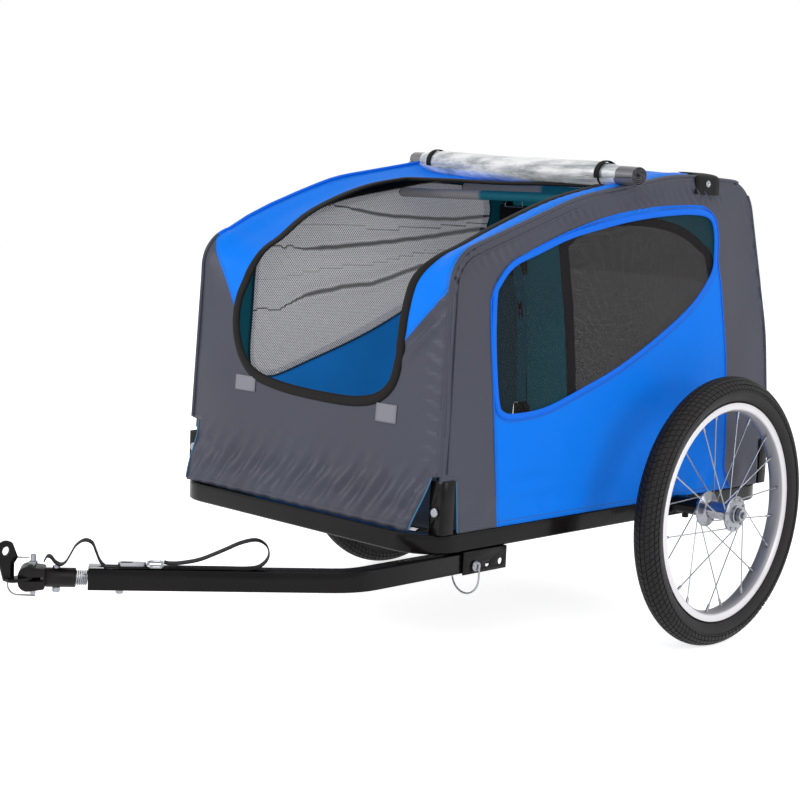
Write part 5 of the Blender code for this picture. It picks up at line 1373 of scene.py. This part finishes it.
def buildWheels():
    tyre = makeTyre()
    rim, hub = (turnMesh(turned(profile, count, ring=True), Matrix.Rotation(-math.pi / 2, 4, "X"))
                for profile, count in ((wheel["rim"], 128), (hubProfile, 48)))
    hub = joined([hub, makeSpokes()], "hub")
    for side, name in sideNames.items():
        place = Matrix.Translation((0, side * halfTrack, axleZ)) @ Matrix.Diagonal((1, side, 1, 1))
        for source, piece, node, material, slot, angle in (
                (tyre, "Tyre", "_tyre", "rubber", "tyre_rubber", 50), (rim, "Rim", "_rim", "rim", "aluminium", 40),
                (hub, "HubAndSpokes", "_spoked_hub", "bright", "bright_steel", 40)):
            settle(ownCopy(source, place), name + piece, material, name + "_wheel", angle, name + node, slot)
    for source in (tyre, rim, hub):
        bpy.data.objects.remove(source)


buildWheels()
print("wheels built")


# hitch and safety strap

hitchWay, hitchSide = np.array([0.788, -0.616, 0.0]), np.array([0.616, 0.788, 0.0])
barEnd = sum(nodeBox("hitch_spring")) / 2 - hitchWay * 0.007
hitch = {
    "coil": (0.0083, 0.00092, 5.5, 0.0006, 0.0138),  # radius, wire, turns, start, end
    "strapWidth": 0.0195, "strapThick": 0.0016, "strapReach": (-0.035, 0.004), "endReach": (0.008, 0.030),
    "strap": mm((50.5, 20), (47.5, 25.2), (43, 24.5), (38, 18.5), (31.5, 15.6), (25.8, 19.2), (21, 27.5), (14.5, 39),
                (5, 45.2), (-4, 42.2), (-8.5, 32.5), (-13, 21.5), (-18.5, 15), (-24, 14), (-60, 13.9), (-100, 13.9),
                (-150, 13.9), (-190, 14.1), (-204, 19), (-211, 30), (-208, 42), (-196, 48.5), (-178, 45), (-156, 35),
                (-130, 24), (-108, 19.5), (-95, 18.8), (-88, 20)),
    "plate": (-0.0095, 0.0128, 0.0185, 0.0195, 0.0024),  # along, height, length, width, thickness
}


def hitchSpot(along, up):
    along, up = np.asarray(along, float), np.asarray(up, float)
    spot = barEnd + along[..., None] * hitchWay
    spot[..., 2] += up
    return spot


def buildHitch():
    radius, wire, turns, start, end = hitch["coil"]
    t = np.linspace(0, 1, int(28 * turns))[:, None]
    angle = fullTurn * turns * t
    ring = radius * (np.cos(angle) * hitchSide + np.sin(angle) * np.array([0, 0, 1.0]))
    cordOn("hitchCoil", barEnd + (start + (end - start) * t) * hitchWay + ring, wire, "bright", sides=10, fold=False,
           body="hitch_spring", node="hitch_spring", slot="bright_steel")

    flat = smoothLoop([(a, 0.0, u) for a, u in hitch["strap"]], 6, closed=False)
    spots = hitchSpot(flat[:, 0], flat[:, 2])
    normals = np.cross(np.gradient(spots, axis=0), hitchSide)
    normals /= np.linalg.norm(normals, axis=1)[:, None]
    crest = int(np.argmax(flat[:100, 2]))
    # one band in two lengths
    for name, part, bodies, reach, node, rests in (
            ("safetyStrap", slice(crest, None), ("trailer", "hitch_spring"), hitch["strapReach"], "safety_strap",
             "tow_bar"),
            ("safetyStrapEnd", slice(0, crest + 1), ("hitch_spring", "hitch_head"), hitch["endReach"], None,
             "hitch_sleeve")):
        strap = tape(name, spots[part], normals[part], hitch["strapWidth"], hitch["strapThick"], closed=False)
        settle(strap, name, "strap", body=None, angle=None, node=node, slot="black_webbing")
        first, last = (hitchSpot(a, 0.0) + toAxle for a in reach)
        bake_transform(strap)

    along, height, long, wide, thick = hitch["plate"]
    bpy.ops.object.select_all(action="DESELECT")
    bpy.ops.mesh.primitive_cube_add(size=1, location=hitchSpot(along, height + thick / 2),
                                    rotation=(0, 0, math.atan2(hitchWay[1], hitchWay[0])))
    plate = bpy.context.object
    plate.scale = (long, wide, thick)
    bpy.ops.object.transform_apply(location=True, rotation=True, scale=True)
    bpy.ops.object.mode_set(mode="EDIT")
    bpy.ops.mesh.select_all(action="SELECT")
    bpy.ops.mesh.bevel(offset=0.0008, segments=3)
    bpy.ops.object.mode_set(mode="OBJECT")
    settle(plate, "barEndPlate", "bright", slot="bright_steel")


buildHitch()
print("hitch built")


# carried-over nodes: softened edges, and finishes by their slot in the record

softened = {"base_frame": 0.0022, "tow_bar": 0.0020, "tow_bracket": 0.0010, "hitch_housing": 0.0014,
            "hitch_plate": 0.0006, "hitch_sleeve": 0.0006, "axle_cross_tube": 0.0012, "front_cross_tube": 0.0012}
for name in sideNames.values():
    softened.update({name + "_front_bracket": 0.0007, name + "_rear_bracket": 0.0007, name + "_axle_receiver": 0.0010})
for obj in frame["nodes"].values():
    only(obj)
    bpy.ops.object.shade_smooth_by_angle(angle=math.radians(30))
for name, width in softened.items():
    obj = frame["nodes"][name]
    obj.modifiers.new("weld", "WELD").merge_threshold = 0.00001
    bevel = obj.modifiers.new("softened", "BEVEL")
    bevel.width, bevel.segments, bevel.limit_method, bevel.angle_limit = width, 2, "ANGLE", math.radians(38)

slotFinish = {"black_steel": "frameBlack", "bright_steel": "bright", "aluminium": "rim", "tyre_rubber": "rubber",
              "grey_fabric": "greyCloth", "black_fabric": "floorCloth", "black_webbing": "strap",
              "black_plastic": "plastic", "window_mesh": "netOuter", "clear_sheet": "plastic"}
for part in frame["record"]["subparts"]:
    for place in frame["nodes"][part["node"]].material_slots:
        place.material = finish[slotFinish[part["material_slot"]]]
